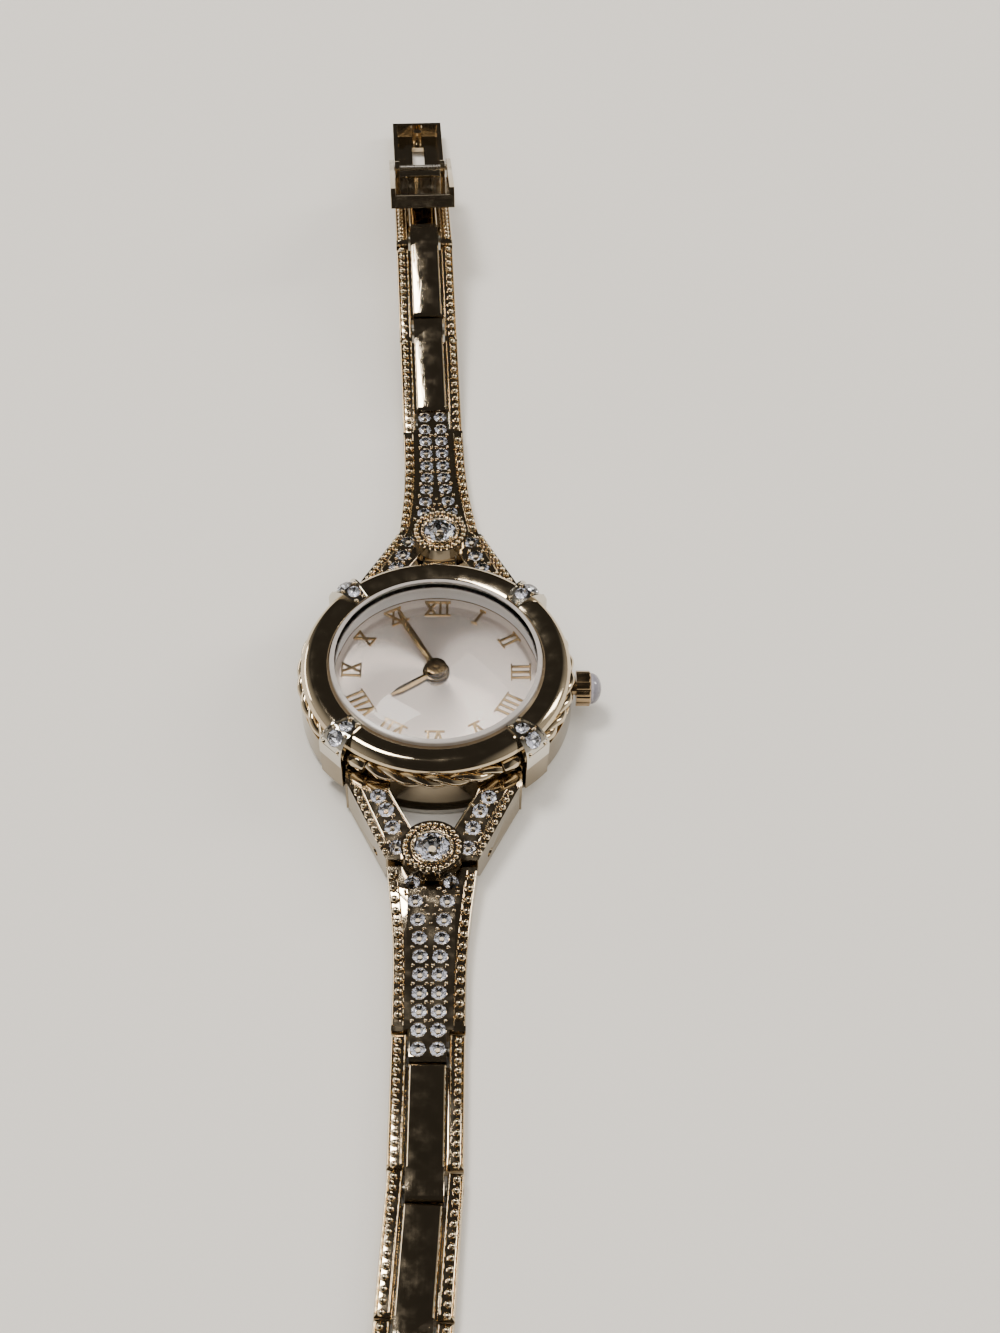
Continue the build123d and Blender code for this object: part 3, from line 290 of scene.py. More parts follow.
def satin(name, colour, roughness):
    """Brushed metal with fine lines along Y."""
    material, tree, shader, place = new_material(name, 1.0)
    lines = noise(tree, place, 5200.0, 3.0, (1.0, 0.04, 1.0))
    coloured(tree, shader, lines, colour, 0.85, 1.1)
    roughened(tree, shader, lines, (0.3, 0.7), roughness * 0.8, roughness * 1.2)
    bumped(tree, shader, lines, 0.000006)
    return material


def plain(name, colour, roughness, grain, metallic=0.0):
    """A plain surface with a fine grain, for rubber, plastic and inner parts."""
    material, tree, shader, place = new_material(name, metallic)
    specks = noise(tree, place, grain)
    coloured(tree, shader, specks, colour, 0.9, 1.1)
    roughened(tree, shader, specks, (0.3, 0.7), roughness * 0.85, roughness * 1.15)
    bumped(tree, shader, specks, 0.000006)
    return material


def clear(name, tint, index, roughness=0.0, clearness=1.0):
    """Clear glass or stone, with the faintest waviness."""
    material, tree, shader, place = new_material(name)
    shader.inputs["Base Color"].default_value = (*tint, 1)
    shader.inputs["Roughness"].default_value = roughness
    shader.inputs["IOR"].default_value = index
    shader.inputs["Transmission Weight"].default_value = clearness
    bumped(tree, shader, noise(tree, place, 260.0, 1.0), 0.0000005)
    return material


def foiled(name):
    """The mirror foil behind a cut stone."""
    material, tree, shader, place = new_material(name, 1.0)
    cloud = noise(tree, place, 1500.0, 1.0)
    tree.links.new(shades(tree, cloud, (0.58, 0.59, 0.64), (0.80, 0.80, 0.84)), shader.inputs["Base Color"])
    shader.inputs["Roughness"].default_value = 0.1
    return material


def sunray(name, colour):
    """A silvered dial, brushed in rays from its centre."""
    material, tree, shader, place = new_material(name, 0.85)
    parts = tree.nodes.new("ShaderNodeSeparateXYZ")
    tree.links.new(place, parts.inputs[0])
    rays = tree.nodes.new("ShaderNodeTexNoise")
    rays.noise_dimensions = "1D"
    rays.inputs["Scale"].default_value = 34.0
    rays.inputs["Detail"].default_value = 6.0
    tree.links.new(reckoned(tree, "ARCTAN2", parts.outputs["Y"], parts.outputs["X"]), rays.inputs["W"])
    coloured(tree, shader, rays.outputs[0], colour, 0.97, 1.03)
    roughened(tree, shader, rays.outputs[0], (0.3, 0.7), 0.235, 0.25)
    shader.inputs["Anisotropic"].default_value = 0.92
    tangent = tree.nodes.new("ShaderNodeTangent")
    tangent.direction_type = "RADIAL"
    tangent.axis = "Z"
    tree.links.new(tangent.outputs[0], shader.inputs["Tangent"])
    return material


def make_materials():
    """Every finish of the watch, by name."""
    colours = bpy.context.scene.watch_colours
    gold = tuple(colours.gold)
    return {
        "gold": polished("Polished pale gold", gold, 0.06, 0.16),
        "bezel_gold": polished("Bezel gold", gold, 0.07, 0.15, 0.5),
        "block_gold": polished("Worn link gold", times(gold, 0.95), 0.05, 0.14, 2.0),
        "bead_gold": polished("Beaded gold", times(gold, 1.05), 0.08, 0.2, 0.5),
        "rope_gold": polished("Rope gold", gold, 0.06, 0.15, 0.5),
        # Upright walls and the bezel's inner wall: the same gold at half strength, painted shade
        "shaded_wall_metal": polished("Wall gold with painted shade", times(gold, 0.5), 0.06, 0.16),
        "claw_metal": polished("Claw metal", (0.68, 0.64, 0.56), 0.06, 0.16),
        "satin_gold": satin("Satin gold", times(gold, 0.95), 0.35),
        "crown_gold": polished("Crown gold", tuple(colours.crown_gold), 0.14, 0.28, 0.6),
        # The hands' bosses: the hand gold at a third of its strength, painted shade
        "hub_shaded_gold": polished("Hub gold with painted shade", times(tuple(colours.hand_gold), 0.3), 0.2, 0.32, 0.3),
        "hand_gold": polished("Hand gold", tuple(colours.hand_gold), 0.16, 0.28, 0.3),
        "steel": satin("Pin steel", (0.42, 0.40, 0.36), 0.3),
        "back_steel": satin("Back steel", (0.52, 0.51, 0.48), 0.4),
        "foil": foiled("Stone foil"),
        "stone": clear("Clear stone", (0.98, 0.99, 1.0), 1.62),
        "crown_stone": clear("Crown stone", (0.52, 0.50, 0.58), 1.55, 0.05, 0.6),
        "glass": clear("Crystal glass", (1.0, 1.0, 1.0), 1.45, 0.015),
        "dial": sunray("Silvered sunray", tuple(colours.dial)),
        "rubber": plain("Black rubber", (0.02, 0.02, 0.02), 0.6, 1500.0),
        "ground_edge": plain("Ground glass edge", (0.38, 0.35, 0.33), 0.25, 1500.0),
        "gasket": plain("Pale gasket", (0.62, 0.58, 0.52), 0.3, 1500.0),
        "brass": satin("Works brass", (0.64, 0.48, 0.22), 0.3),
        "nickel": satin("Nickelled brass", (0.60, 0.57, 0.52), 0.32),
        "plastic": plain("White plastic", (0.72, 0.71, 0.67), 0.45, 900.0),
        "board": plain("Green board", (0.02, 0.12, 0.06), 0.4, 1200.0),
        "copper": plain("Lacquered copper", (0.50, 0.18, 0.07), 0.25, 6000.0, 1.0),
        "iron": plain("Soft iron", (0.28, 0.28, 0.28), 0.4, 2000.0, 1.0),
    }


finishes = {}


# Making pieces

def held(name, data):
    """An object for a mesh, a lamp or a camera."""
    holder = bpy.data.objects.new(name, data)
    bpy.context.scene.collection.objects.link(holder)
    return holder


def baked(holder):
    """The mesh that a holder's modifiers make. The holder goes."""
    graph = bpy.context.evaluated_depsgraph_get()
    graph.update()
    mesh = bpy.data.meshes.new_from_object(holder.evaluated_get(graph))
    bpy.data.objects.remove(holder)
    return mesh


def place_piece(name, mesh, body, replaced=()):
    """An object for a finished mesh, which rides on a body and stands for the replaced nodes."""
    piece = held(name, mesh)
    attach(piece, body)
    if replaced:
        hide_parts(*replaced)


def shaded(mesh, degrees):
    """Smooth shading, broken at edges sharper than an angle."""
    mesh.shade_smooth()
    mesh.set_sharp_from_angle(angle=math.radians(degrees))
    return mesh


def second_finish(mesh, finish, wanted):
    """Gives another finish to the wanted faces."""
    mesh.materials.append(finishes[finish])
    for face in mesh.polygons:
        face.material_index = int(wanted(face))


def turned_out(made, name):
    """A mesh of a bmesh, which goes."""
    mesh = bpy.data.meshes.new(name)
    made.to_mesh(mesh)
    made.free()
    return mesh


def mesh_of(name, points, faces, finish, degrees, matrix=None):
    """A mesh in metres from points in millimetres."""
    source = bpy.data.meshes.new(name)
    source.from_pydata([Vector(p) * MM for p in points], [], faces)
    if matrix:
        source.transform(matrix)
    made = bmesh.new()
    made.from_mesh(source)
    bmesh.ops.remove_doubles(made, verts=made.verts, dist=weld)
    bmesh.ops.recalc_face_normals(made, faces=made.faces)
    mesh = turned_out(made, name)
    mesh.materials.append(finishes[finish])
    return shaded(mesh, degrees)


def joined(name, meshes):
    """Several meshes as one, each with its own materials."""
    made = bmesh.new()
    materials = []
    for mesh in meshes:
        start = len(made.faces)
        made.from_mesh(mesh)
        made.faces.ensure_lookup_table()
        for material in mesh.materials:
            if material not in materials:
                materials.append(material)
        places = [materials.index(m) for m in mesh.materials]
        for face in made.faces[start:]:
            face.material_index = places[face.material_index]
    total = turned_out(made, name)
    for material in materials:
        total.materials.append(material)
    return total


def tube_faces(rings, around):
    """The faces of a tube of rings, each of so many points, with a cap on both ends."""
    faces = []
    for i in range(rings - 1):
        for k in range(around):
            a = i * around + k
            b = i * around + (k + 1) % around
            faces.append((a, b, b + around, a + around))
    last = (rings - 1) * around
    return faces + [tuple(range(around)), tuple(range(last, last + around))]


def lathed(name, profile, finish, steps, degrees):
    """A closed profile of radius and height, in millimetres, turned about Z."""
    points = []
    faces = []
    count = len(profile)
    for i in range(steps):
        angle = math.tau * i / steps
        for radius, z in profile:
            points.append((radius * math.cos(angle), radius * math.sin(angle), z))
    for i in range(steps):
        for k in range(count):
            a = i * count + k
            b = i * count + (k + 1) % count
            c = (i + 1) % steps * count + (k + 1) % count
            d = (i + 1) % steps * count + k
            faces.append((a, b, c, d))
    return mesh_of(name, points, faces, finish, degrees)


def arc_points(start, middle, end, count):
    """Points of the circle through three points of a profile, both ends included."""
    (x0, z0), (x1, z1), (x2, z2) = start, middle, end
    a = 2 * (x1 - x0)
    b = 2 * (z1 - z0)
    c = x1 ** 2 + z1 ** 2 - x0 ** 2 - z0 ** 2
    d = 2 * (x2 - x0)
    e = 2 * (z2 - z0)
    f = x2 ** 2 + z2 ** 2 - x0 ** 2 - z0 ** 2
    x = (c * e - b * f) / (a * e - b * d)
    z = (a * f - c * d) / (a * e - b * d)
    radius = math.hypot(x0 - x, z0 - z)
    first = math.atan2(z0 - z, x0 - x)
    last = math.atan2(z2 - z, x2 - x)
    mid = math.atan2(z1 - z, x1 - x)
    span = (last - first) % math.tau
    if span < (mid - first) % math.tau:
        span -= math.tau
    points = []
    for i in range(count):
        angle = first + span * i / (count - 1)
        points.append((x + radius * math.cos(angle), z + radius * math.sin(angle)))
    return points


def dressed_mesh(node, finish, width=None, wall_shade=None):
    """A node's solid with rounded edges and, where one is named, a darker gold on its walls that paints shade
    onto them.
    """
    made = bmesh.new()
    made.from_mesh(frame["nodes"][node].data)
    bmesh.ops.remove_doubles(made, verts=made.verts, dist=weld)
    bmesh.ops.dissolve_limit(made, angle_limit=flat_angle, verts=made.verts, edges=made.edges)
    copy = turned_out(made, node + "_copy")
    copy.materials.append(finishes[finish])
    holder = held(node + "_holder", copy)
    bevel = holder.modifiers.new("Edges", "BEVEL")
    bevel.width = width * MM if width else bpy.context.scene.watch_sizes.edge_width
    bevel.segments = 2
    bevel.limit_method = "ANGLE"
    bevel.angle_limit = round_angle
    bevel.harden_normals = False
    mesh = baked(holder)
    # Upright faces get the darkened gold: painted shade
    if wall_shade:
        second_finish(mesh, wall_shade, lambda face: abs(face.normal.z) < upright_share)
    return shaded(mesh, crease)


def dress(node, finish, body, width=None, wall_shade=None):
    """Replaces a node by its dressed copy."""
    place_piece(node + "_dressed", dressed_mesh(node, finish, width, wall_shade), body, (node,))


def paint(finish, *nodes):
    """Gives nodes that stay as they are their material."""
    for node in nodes:
        mesh = frame["nodes"][node].data
        mesh.materials.clear()
        mesh.materials.append(finishes[finish])


# Geometry Nodes

def new_tree(name, sizes, objects=()):
    """A geometry tree and its inputs, by name: the geometry, its sizes and its objects."""
    tree = bpy.data.node_groups.new(name, "GeometryNodeTree")
    for way in ("INPUT", "OUTPUT"):
        tree.interface.new_socket("Geometry", in_out=way, socket_type="NodeSocketGeometry")
    for labels, kind in ((sizes, "NodeSocketFloat"), (objects, "NodeSocketObject")):
        for label in labels:
            tree.interface.new_socket(label, in_out="INPUT", socket_type=kind)
    return tree, tree.nodes.new("NodeGroupInput").outputs


def add(tree, kind, **values):
    """A node with some of its inputs set or wired."""
    node = tree.nodes.new(kind)
    for label, value in values.items():
        socket = node.inputs[label.replace("_", " ")]
        if isinstance(value, bpy.types.NodeSocket):
            tree.links.new(value, socket)
        else:
            socket.default_value = value
    return node


def passed(tree, kind, first, **values):
    """What a node makes of its first input, with some of its other inputs set or wired."""
    node = add(tree, kind, **values)
    tree.links.new(first, node.inputs[0])
    return node.outputs[0]


def vector_sum(tree, operation, first):
    """A node that reckons with vectors, and its first input wired."""
    node = tree.nodes.new("ShaderNodeVectorMath")
    node.operation = operation
    tree.links.new(first, node.inputs[0])
    return node


def named(tree, label, kind):
    """The values of a named attribute."""
    node = tree.nodes.new("GeometryNodeInputNamedAttribute")
    node.data_type = kind
    node.inputs["Name"].default_value = label
    return node.outputs["Attribute"]


def ended(tree, geometry):
    """The tree, with the geometry as its output."""
    tree.links.new(geometry, tree.nodes.new("NodeGroupOutput").inputs[0])
    return tree


def bead_tree():
    """Round beads on the points, each as large as its own share of the bead radius."""
    tree, source = new_tree("Bead rows", ("Bead radius",))
    points = passed(tree, "GeometryNodeMeshToPoints", source["Geometry"])
    ball = add(tree, "GeometryNodeMeshUVSphere", Segments=8, Rings=6, Radius=source["Bead radius"])
    size = named(tree, "size", "FLOAT")
    placed = passed(tree, "GeometryNodeInstanceOnPoints", points, Instance=ball.outputs["Mesh"], Scale=size)
    real = passed(tree, "GeometryNodeRealizeInstances", placed)
    smooth = passed(tree, "GeometryNodeSetShadeSmooth", real)
    return ended(tree, passed(tree, "GeometryNodeSetMaterial", smooth, Material=finishes["bead_gold"]))


def stone_tree():
    """Cut stones on the points, turned and sized by the points' own values."""
    tree, source = new_tree("Stone rows", ("Stone scale",), ("Cut stone",))
    points = passed(tree, "GeometryNodeMeshToPoints", source["Geometry"])
    cut = add(tree, "GeometryNodeObjectInfo", Object=source["Cut stone"]).outputs["Geometry"]
    size = reckoned(tree, "MULTIPLY", named(tree, "size", "FLOAT"), source["Stone scale"])
    turn = passed(tree, "FunctionNodeEulerToRotation", named(tree, "turn", "FLOAT_VECTOR"))
    placed = passed(tree, "GeometryNodeInstanceOnPoints", points, Instance=cut, Scale=size, Rotation=turn)
    real = passed(tree, "GeometryNodeRealizeInstances", placed)
    front = passed(tree, "GeometryNodeSetMaterial", real, Material=finishes["stone"])
    foil = named(tree, "foil", "BOOLEAN")
    both = passed(tree, "GeometryNodeSetMaterial", front, Material=finishes["foil"], Selection=foil)
    return ended(tree, both)


def rope_tree():
    """Two strands that twist about the path, as a rope."""
    tree, source = new_tree("Twisted rope", ("Strand radius", "Twist radius", "Twist pitch", "Step"))
    link = tree.links.new
    path = passed(tree, "GeometryNodeMeshToCurve", source["Geometry"])
    even = tree.nodes.new("GeometryNodeResampleCurve")
    even.mode = "LENGTH"
    link(path, even.inputs["Curve"])
    link(source["Step"], even.inputs["Length"])
    along = tree.nodes.new("GeometryNodeSplineParameter").outputs["Length"]
    tangent = tree.nodes.new("GeometryNodeInputTangent").outputs[0]
    side = vector_sum(tree, "CROSS_PRODUCT", tangent)
    side.inputs[1].default_value = (0, 0, 1)
    turns = reckoned(tree, "DIVIDE", along, source["Twist pitch"])
    circle = add(tree, "GeometryNodeCurvePrimitiveCircle", Resolution=10, Radius=source["Strand radius"])
    section = circle.outputs[0]
    together = tree.nodes.new("GeometryNodeJoinGeometry")
    for start in (0.0, 0.5):
        angle = reckoned(tree, "MULTIPLY", reckoned(tree, "ADD", turns, start), math.tau)
        reach, rise = (
            reckoned(tree, "MULTIPLY", reckoned(tree, wave, angle), source["Twist radius"])
            for wave in ("SINE", "COSINE")
        )
        outwards = vector_sum(tree, "SCALE", side.outputs[0])
        link(reach, outwards.inputs["Scale"])
        offset = vector_sum(tree, "ADD", outwards.outputs[0])
        link(add(tree, "ShaderNodeCombineXYZ", Z=rise).outputs[0], offset.inputs[1])
        moved = passed(tree, "GeometryNodeSetPosition", even.outputs[0], Offset=offset.outputs[0])
        strand = passed(tree, "GeometryNodeCurveToMesh", moved, Fill_Caps=True, Profile_Curve=section)
        link(strand, together.inputs[0])
    real = passed(tree, "GeometryNodeRealizeInstances", together.outputs[0])
    return ended(tree, passed(tree, "GeometryNodeSetMaterial", real, Material=finishes["rope_gold"]))


def grown(name, source_mesh, tree, values, degrees):
    """The plain mesh that a tree makes of a source mesh."""
    holder = held(name + "_holder", source_mesh)
    modifier = holder.modifiers.new("Grow", "NODES")
    modifier.node_group = tree
    for item in tree.interface.items_tree:
        if item.in_out == "INPUT" and item.name in values:
            modifier[item.identifier] = values[item.name]
    mesh = baked(holder)
    mesh.name = name
    for attribute in [a.name for a in mesh.attributes if a.name in ("size", "turn", "foil")]:
        mesh.attributes.remove(mesh.attributes[attribute])
    return shaded(mesh, degrees)


def point_mesh(places, with_turns=False):
    """A mesh of points only. Each place is a point in metres, a size and, for stones, a turn."""
    mesh = bpy.data.meshes.new("places")
    mesh.from_pydata([p[0] for p in places], [], [])
    sizes = mesh.attributes.new("size", "FLOAT", "POINT")
    for i, place in enumerate(places):
        sizes.data[i].value = place[1]
    if with_turns:
        turns = mesh.attributes.new("turn", "FLOAT_VECTOR", "POINT")
        for i, place in enumerate(places):
            turns.data[i].vector = place[2]
    return mesh


# The cut stone's rings from its table to its point: radius, height, and a turn by this share of a facet
stone_rings = (
    (0.56, 0.30, 0.0),
    (0.80, 0.19, 0.5),
    (1.0, 0.02, 0.0),
    (1.0, -0.04, 0.0),
    (0.52, -0.45, 0.5),
    (0.06, -0.72, 0.0),
)
stone_facets = 8
foil_below = -0.05


def cut_stone():
    """A round stone of radius 1, its table up: the crown is clear and the back carries foil."""
    made = bmesh.new()
    rings = []
    for radius, z, shift in stone_rings:
        angles = [math.tau * (i + shift) / stone_facets for i in range(stone_facets)]
        rings.append([made.verts.new((radius * math.cos(a), radius * math.sin(a), z)) for a in angles])
    made.faces.new(rings[0])
    made.faces.new(list(reversed(rings[-1])))
    for index, (upper, lower) in enumerate(zip(rings, rings[1:])):
        leans = stone_rings[index + 1][2] - stone_rings[index][2]
        for i in range(stone_facets):
            after = (i + 1) % stone_facets
            if leans > 0:
                made.faces.new((upper[i], lower[i], upper[after]))
                made.faces.new((upper[after], lower[i], lower[after]))
            elif leans < 0:
                made.faces.new((upper[i], lower[i], lower[after]))
                made.faces.new((upper[i], lower[after], upper[after]))
            else:
                made.faces.new((upper[i], lower[i], lower[after], upper[after]))
    bmesh.ops.recalc_face_normals(made, faces=made.faces)
    mesh = turned_out(made, "cut_stone")
    foil = mesh.attributes.new("foil", "BOOLEAN", "FACE")
    for polygon in mesh.polygons:
        foil.data[polygon.index].value = polygon.center.z < foil_below
    return mesh


grown_trees = {}


def bead_piece(name, places, body):
    """One piece of beads. Places are points in metres with a share of the bead radius."""
    values = {"Bead radius": bpy.context.scene.watch_sizes.bead_radius}
    mesh = grown(name, point_mesh(places), grown_trees["beads"], values, 80)
    place_piece(name, mesh, body)


def stone_piece(name, places, body, replaced):
    """One piece of cut stones. Places are points in metres with a radius in metres and a turn."""
    cut = held("cut_stone", cut_stone())
    values = {"Stone scale": bpy.context.scene.watch_sizes.stone_scale, "Cut stone": cut}
    mesh = grown(name, point_mesh(places, True), grown_trees["stones"], values, 5)
    bpy.data.objects.remove(cut)
    place_piece(name, mesh, body, (replaced,))


def place_beaded(name, node, body, parts, beads):
    """Joined parts that stand for a node, and their beads."""
    place_piece(f"{name}_metal", joined(f"{name}_metal", parts), body, (node,))
    bead_piece(f"{name}_beads", beads, body)


def spot(matrix, x, y, z):
    """A point of a piece's own frame, in millimetres, as a point of the watch in metres."""
    return matrix @ Vector((x * MM, y * MM, z * MM))


# Heights are looked up from here, in millimetres, and a hit further than this below its guess is a gap
ray_height = 20
ray_misses_by = 0.8


def top_of(node, matrix):
    """A function that gives the height of a node's top over x and y, in its piece's own frame."""
    mesh = frame["nodes"][node].data
    back = matrix.inverted()
    points = [back @ corner.co for corner in mesh.vertices]
    solid = BVHTree.FromPolygons(points, [tuple(face.vertices) for face in mesh.polygons])

    def height(x, y, otherwise):
        hit = solid.ray_cast(Vector((x * MM, y * MM, ray_height * MM)), Vector((0, 0, -1)))[0]
        return hit.z / MM if hit and hit.z / MM > otherwise - ray_misses_by else otherwise

    return height


def tilted(matrix, spin, pitch=0.0):
    """The turn of a stone that stands on a piece of that frame."""
    own = Matrix.Rotation(pitch, 3, "X") @ Matrix.Rotation(spin, 3, "Z")
    return tuple((matrix.to_3x3() @ own).to_euler())


def bead_row(matrix, points, pitch, share):
    """Beads at an even pitch along a run of points in a piece's own frame."""
    places = []
    spare = pitch / 2
    for (x0, y0, z0), (x1, y1, z1) in zip(points, points[1:]):
        length = math.dist((x0, y0, z0), (x1, y1, z1))
        while spare <= length:
            t = spare / length
            at = spot(matrix, x0 + (x1 - x0) * t, y0 + (y1 - y0) * t, z0 + (z1 - z0) * t)
            places.append((at, share))
            spare += pitch
        spare -= length
    return places


# Case

# The bezel's outline, as radius and height: its drawn-in foot, its rim and the seat of the glass
bezel_foot = ((11.0, 4.15), (11.0, 5.3), (11.2, 5.6), (11.55, 5.82), (11.64, 5.88))
bezel_inside = (
    (9.37, 6.6),
    (9.34, 6.55),
    (bezel_inner_radius, 6.52),
    (bezel_inner_radius, glass_z),
    (8.7, glass_z),
    (8.7, 4.7),
    (9.6, 4.7),
    (9.6, 4.15),
)
bezel_slope = ((9.98, 6.745), (9.42, 6.63))
bezel_rim_turn = math.radians(14)
bezel_steps = 22
# Inside this radius and under the glass, the bezel's wall is painted darker: painted shade
bezel_shaded_wall_radius = 9.05
bezel_seat_share = 0.99


def bezel_mesh():
    """The polished bezel: a dome over a drawn-in foot, with a thin inner edge, the claws' seats and painted
    shade on its inner wall.
    """
    profile = list(bezel_foot)
    for i in range(bezel_steps + 1):
        turn = bezel_rim_turn + (math.pi / 2 - bezel_rim_turn) * i / bezel_steps
        radius = bezel_crest_radius + (bezel_radius - bezel_crest_radius) * math.cos(turn)
        profile.append((radius, bezel_shoulder_z + (bezel_top_z - bezel_shoulder_z) * math.sin(turn)))
    profile += arc_points((bezel_crest_radius, bezel_top_z), *bezel_slope, 8)[1:]
    profile += bezel_inside
    seats = []
    for turn in corner_turns:
        seats += [(turn @ matrix, radius * bezel_seat_share) for matrix, radius in claw_seats()]
    solid = lathed("bezel_polished", profile, "bezel_gold", 192, 34)
    mesh = shaded(carved(solid, seat_cutter(seats)), 34)

    # The bezel's inner wall under the glass takes the darkened gold: painted shade
    def shaded_inner_wall(face):
        place = face.center / MM
        return place.xy.length < bezel_shaded_wall_radius and place.z < glass_z - 0.02

    second_finish(mesh, "shaded_wall_metal", shaded_inner_wall)
    return mesh


def crystal_mesh():
    """The domed glass, closed and smooth, with a ground edge."""
    over = []
    under = []
    steps = 30
    reach = glass_radius - glass_dome_in
    for i in range(steps + 1):
        share = i / steps
        over.append((reach * share, glass_top_z - (glass_top_z - glass_edge_z) * share ** 3))
        under.append((glass_foot_radius * share, glass_under_z - (glass_under_z - glass_z) * share ** 3))
    edge = [(glass_radius - inwards, glass_edge_z - down) for inwards, down in glass_edge]
    mesh = lathed("crystal_clear", over + edge + [(glass_radius, glass_z)] + under[::-1], "glass", 128, 50)
    second_finish(mesh, "ground_edge", lambda face: face.center.xy.length / MM > glass_ring_radius)
    return mesh


def wedge_half(radius):
    """Half the width of a claw at a radius."""
    share = (radius - claw_inner_radius) / (pillar_radius - claw_inner_radius)
    return (claw_inner_width + (claw_outer_width - claw_inner_width) * share) / 2


def claw_top(share):
    """Radius and height of the claw's top, from its inner end at 0 to its toe at 1."""
    top = bezel_top_z + claw_proud
    crest = (bezel_crest_radius, top)
    brow = arc_points(crest, (claw_brow_radius, top - claw_brow_drop), (pillar_radius, claw_toe_z), 14)
    points = [(claw_inner_radius, top - claw_inner_drop)] + brow
    lengths = [math.dist(a, b) for a, b in zip(points, points[1:])]
    goal = sum(lengths) * share
    for start, end, length in zip(points, points[1:], lengths):
        if goal <= length:
            t = goal / length
            return start[0] + (end[0] - start[0]) * t, start[1] + (end[1] - start[1]) * t
        goal -= length
    return points[-1]


# A stone's seat as shares of the stone's radius: its own radius, its depth and its middle's rise
seat_share = 1.04
seat_depth = 2.2
seat_rise = 0.3


def seat_cutter(spots):
    """The holes for a claw's stones, as one mesh about the claws' own axis."""
    made = bmesh.new()
    for matrix, radius in spots:
        bmesh.ops.create_cone(
            made,
            cap_ends=True,
            segments=24,
            radius1=radius * seat_share,
            radius2=radius * seat_share,
            depth=seat_depth * radius,
            matrix=matrix @ Matrix.Translation((0, 0, seat_rise * radius)),
        )
    return turned_out(made, "seats")


def carved(mesh, cutter_mesh):
    """The mesh with the cutter taken out of it."""
    body = held("carved_holder", mesh)
    cutter = held("cutter_holder", cutter_mesh)
    cut = body.modifiers.new("Seats", "BOOLEAN")
    cut.operation = "DIFFERENCE"
    cut.solver = "MANIFOLD"
    cut.object = cutter
    done = baked(body)
    bpy.data.objects.remove(cutter)
    return done


# Across a claw: shares of its half width, and how far its bed lies below its rims there
claw_section = (
    (-1.0, -0.08), (-0.985, 0.0), (-0.87, 0.0), (-0.84, -0.16),
    (0.84, -0.16), (0.87, 0.0), (0.985, 0.0), (1.0, -0.08),
)
claw_steps = 20
claw_over_bezel_z = 5.6
claw_over_bezel_radius = 11.2


def claw_mesh():
    """One claw on the +X axis: a bed with two seats between raised rims, down to the case."""
    points = []
    for i in range(claw_steps + 1):
        radius, z = claw_top(i / claw_steps)
        half = wedge_half(radius)
        floor = claw_over_bezel_z if radius < claw_over_bezel_radius else case_top_z
        points.append((radius, -half, floor))
        for share, lift in claw_section:
            closed = 0.0 if i in (0, claw_steps) else lift
            points.append((radius, half * share, max(z + closed, floor)))
        points.append((radius, half, floor))
    faces = tube_faces(claw_steps + 1, len(claw_section) + 2)
    return carved(mesh_of("claw", points, faces, "claw_metal", 32), seat_cutter(claw_seats()))


def claw_slope(share):
    """How steeply the claw falls outwards at a share of its length."""
    x0, z0 = claw_top(max(share - claw_slope_reach, 0.0))
    x1, z1 = claw_top(min(share + claw_slope_reach, 1.0))
    return math.atan2(z0 - z1, x1 - x0)


corner_turns = [
    Matrix.Rotation(math.radians(angle), 4, "Z")
    for angle in (corner_angle, 180 - corner_angle, 180 + corner_angle, -corner_angle)
]

# The rope's four stretches, and the middles of the plain lengths at their ends, in degrees
rope_spans = ((61.5, 118.5), (140.8, 219.2), (241.5, 298.5), (320.8, 399.2))
rope_steps = 60
strand_share = 0.62
twist_share = 0.38
rope_step = 0.14
barrel_middles = (56.5, 123.5, 236.5, 303.5)
barrel_half = 4.3
barrel_around = 14
barrel_section = ((-1.0, 0.55), (-0.93, 0.86), (-0.8, 1.0), (0.0, 1.0), (0.8, 1.0), (0.93, 0.86), (1.0, 0.55))

# The claws' stones as share of the length, radius and depth, and their grains as share and place across
claw_stone_seats = ((0.31, 0.6, 0.1), (0.7, 0.74, 0.12))
claw_grain_shares = ((0.09, 0.55), (0.5, 0.62), (0.93, 0.66))


def rope_path():
    """The middle line of the rope ring's four stretches."""
    mesh = bpy.data.meshes.new("rope_path")
    points = []
    edges = []
    reach = rope_ring_radius * MM
    for low, high in rope_spans:
        for i in range(rope_steps + 1):
            angle = math.radians(low + (high - low) * i / rope_steps)
            points.append((reach * math.cos(angle), reach * math.sin(angle), rope_z * MM))
            if i:
                edges.append((len(points) - 2, len(points) - 1))
    mesh.from_pydata(points, edges, [])
    return mesh


def claw_seats():
    """Frame and radius, in metres, of the two stones of the claw on the +X axis."""
    seats = []
    for share, radius, sink in claw_stone_seats:
        reach, z = claw_top(share)
        tilt = Matrix.Rotation(claw_slope(share) * 0.9, 4, "Y")
        place = Matrix.Translation((reach * MM, 0, z * MM)) @ tilt @ Matrix.Translation((0, 0, -sink * MM))
        seats.append((place, radius * MM))
    return seats


def claw_stone_spots():
    """Place, radius and tilt of the stones on all claws."""
    places = []
    for turn in corner_turns:
        for matrix, radius in claw_seats():
            own = turn @ matrix
            places.append((own.translation.copy(), radius, tuple(own.to_3x3().to_euler())))
    return places


def claw_grains():
    """The little grains that hold each claw's stones."""
    places = []
    for turn in corner_turns:
        for share, across in claw_grain_shares:
            reach, z = claw_top(share)
            half = wedge_half(reach) * across
            for side in (-half, half):
                places.append((turn @ Vector((reach * MM, side * MM, (z - 0.1) * MM)), 0.6))
    return places


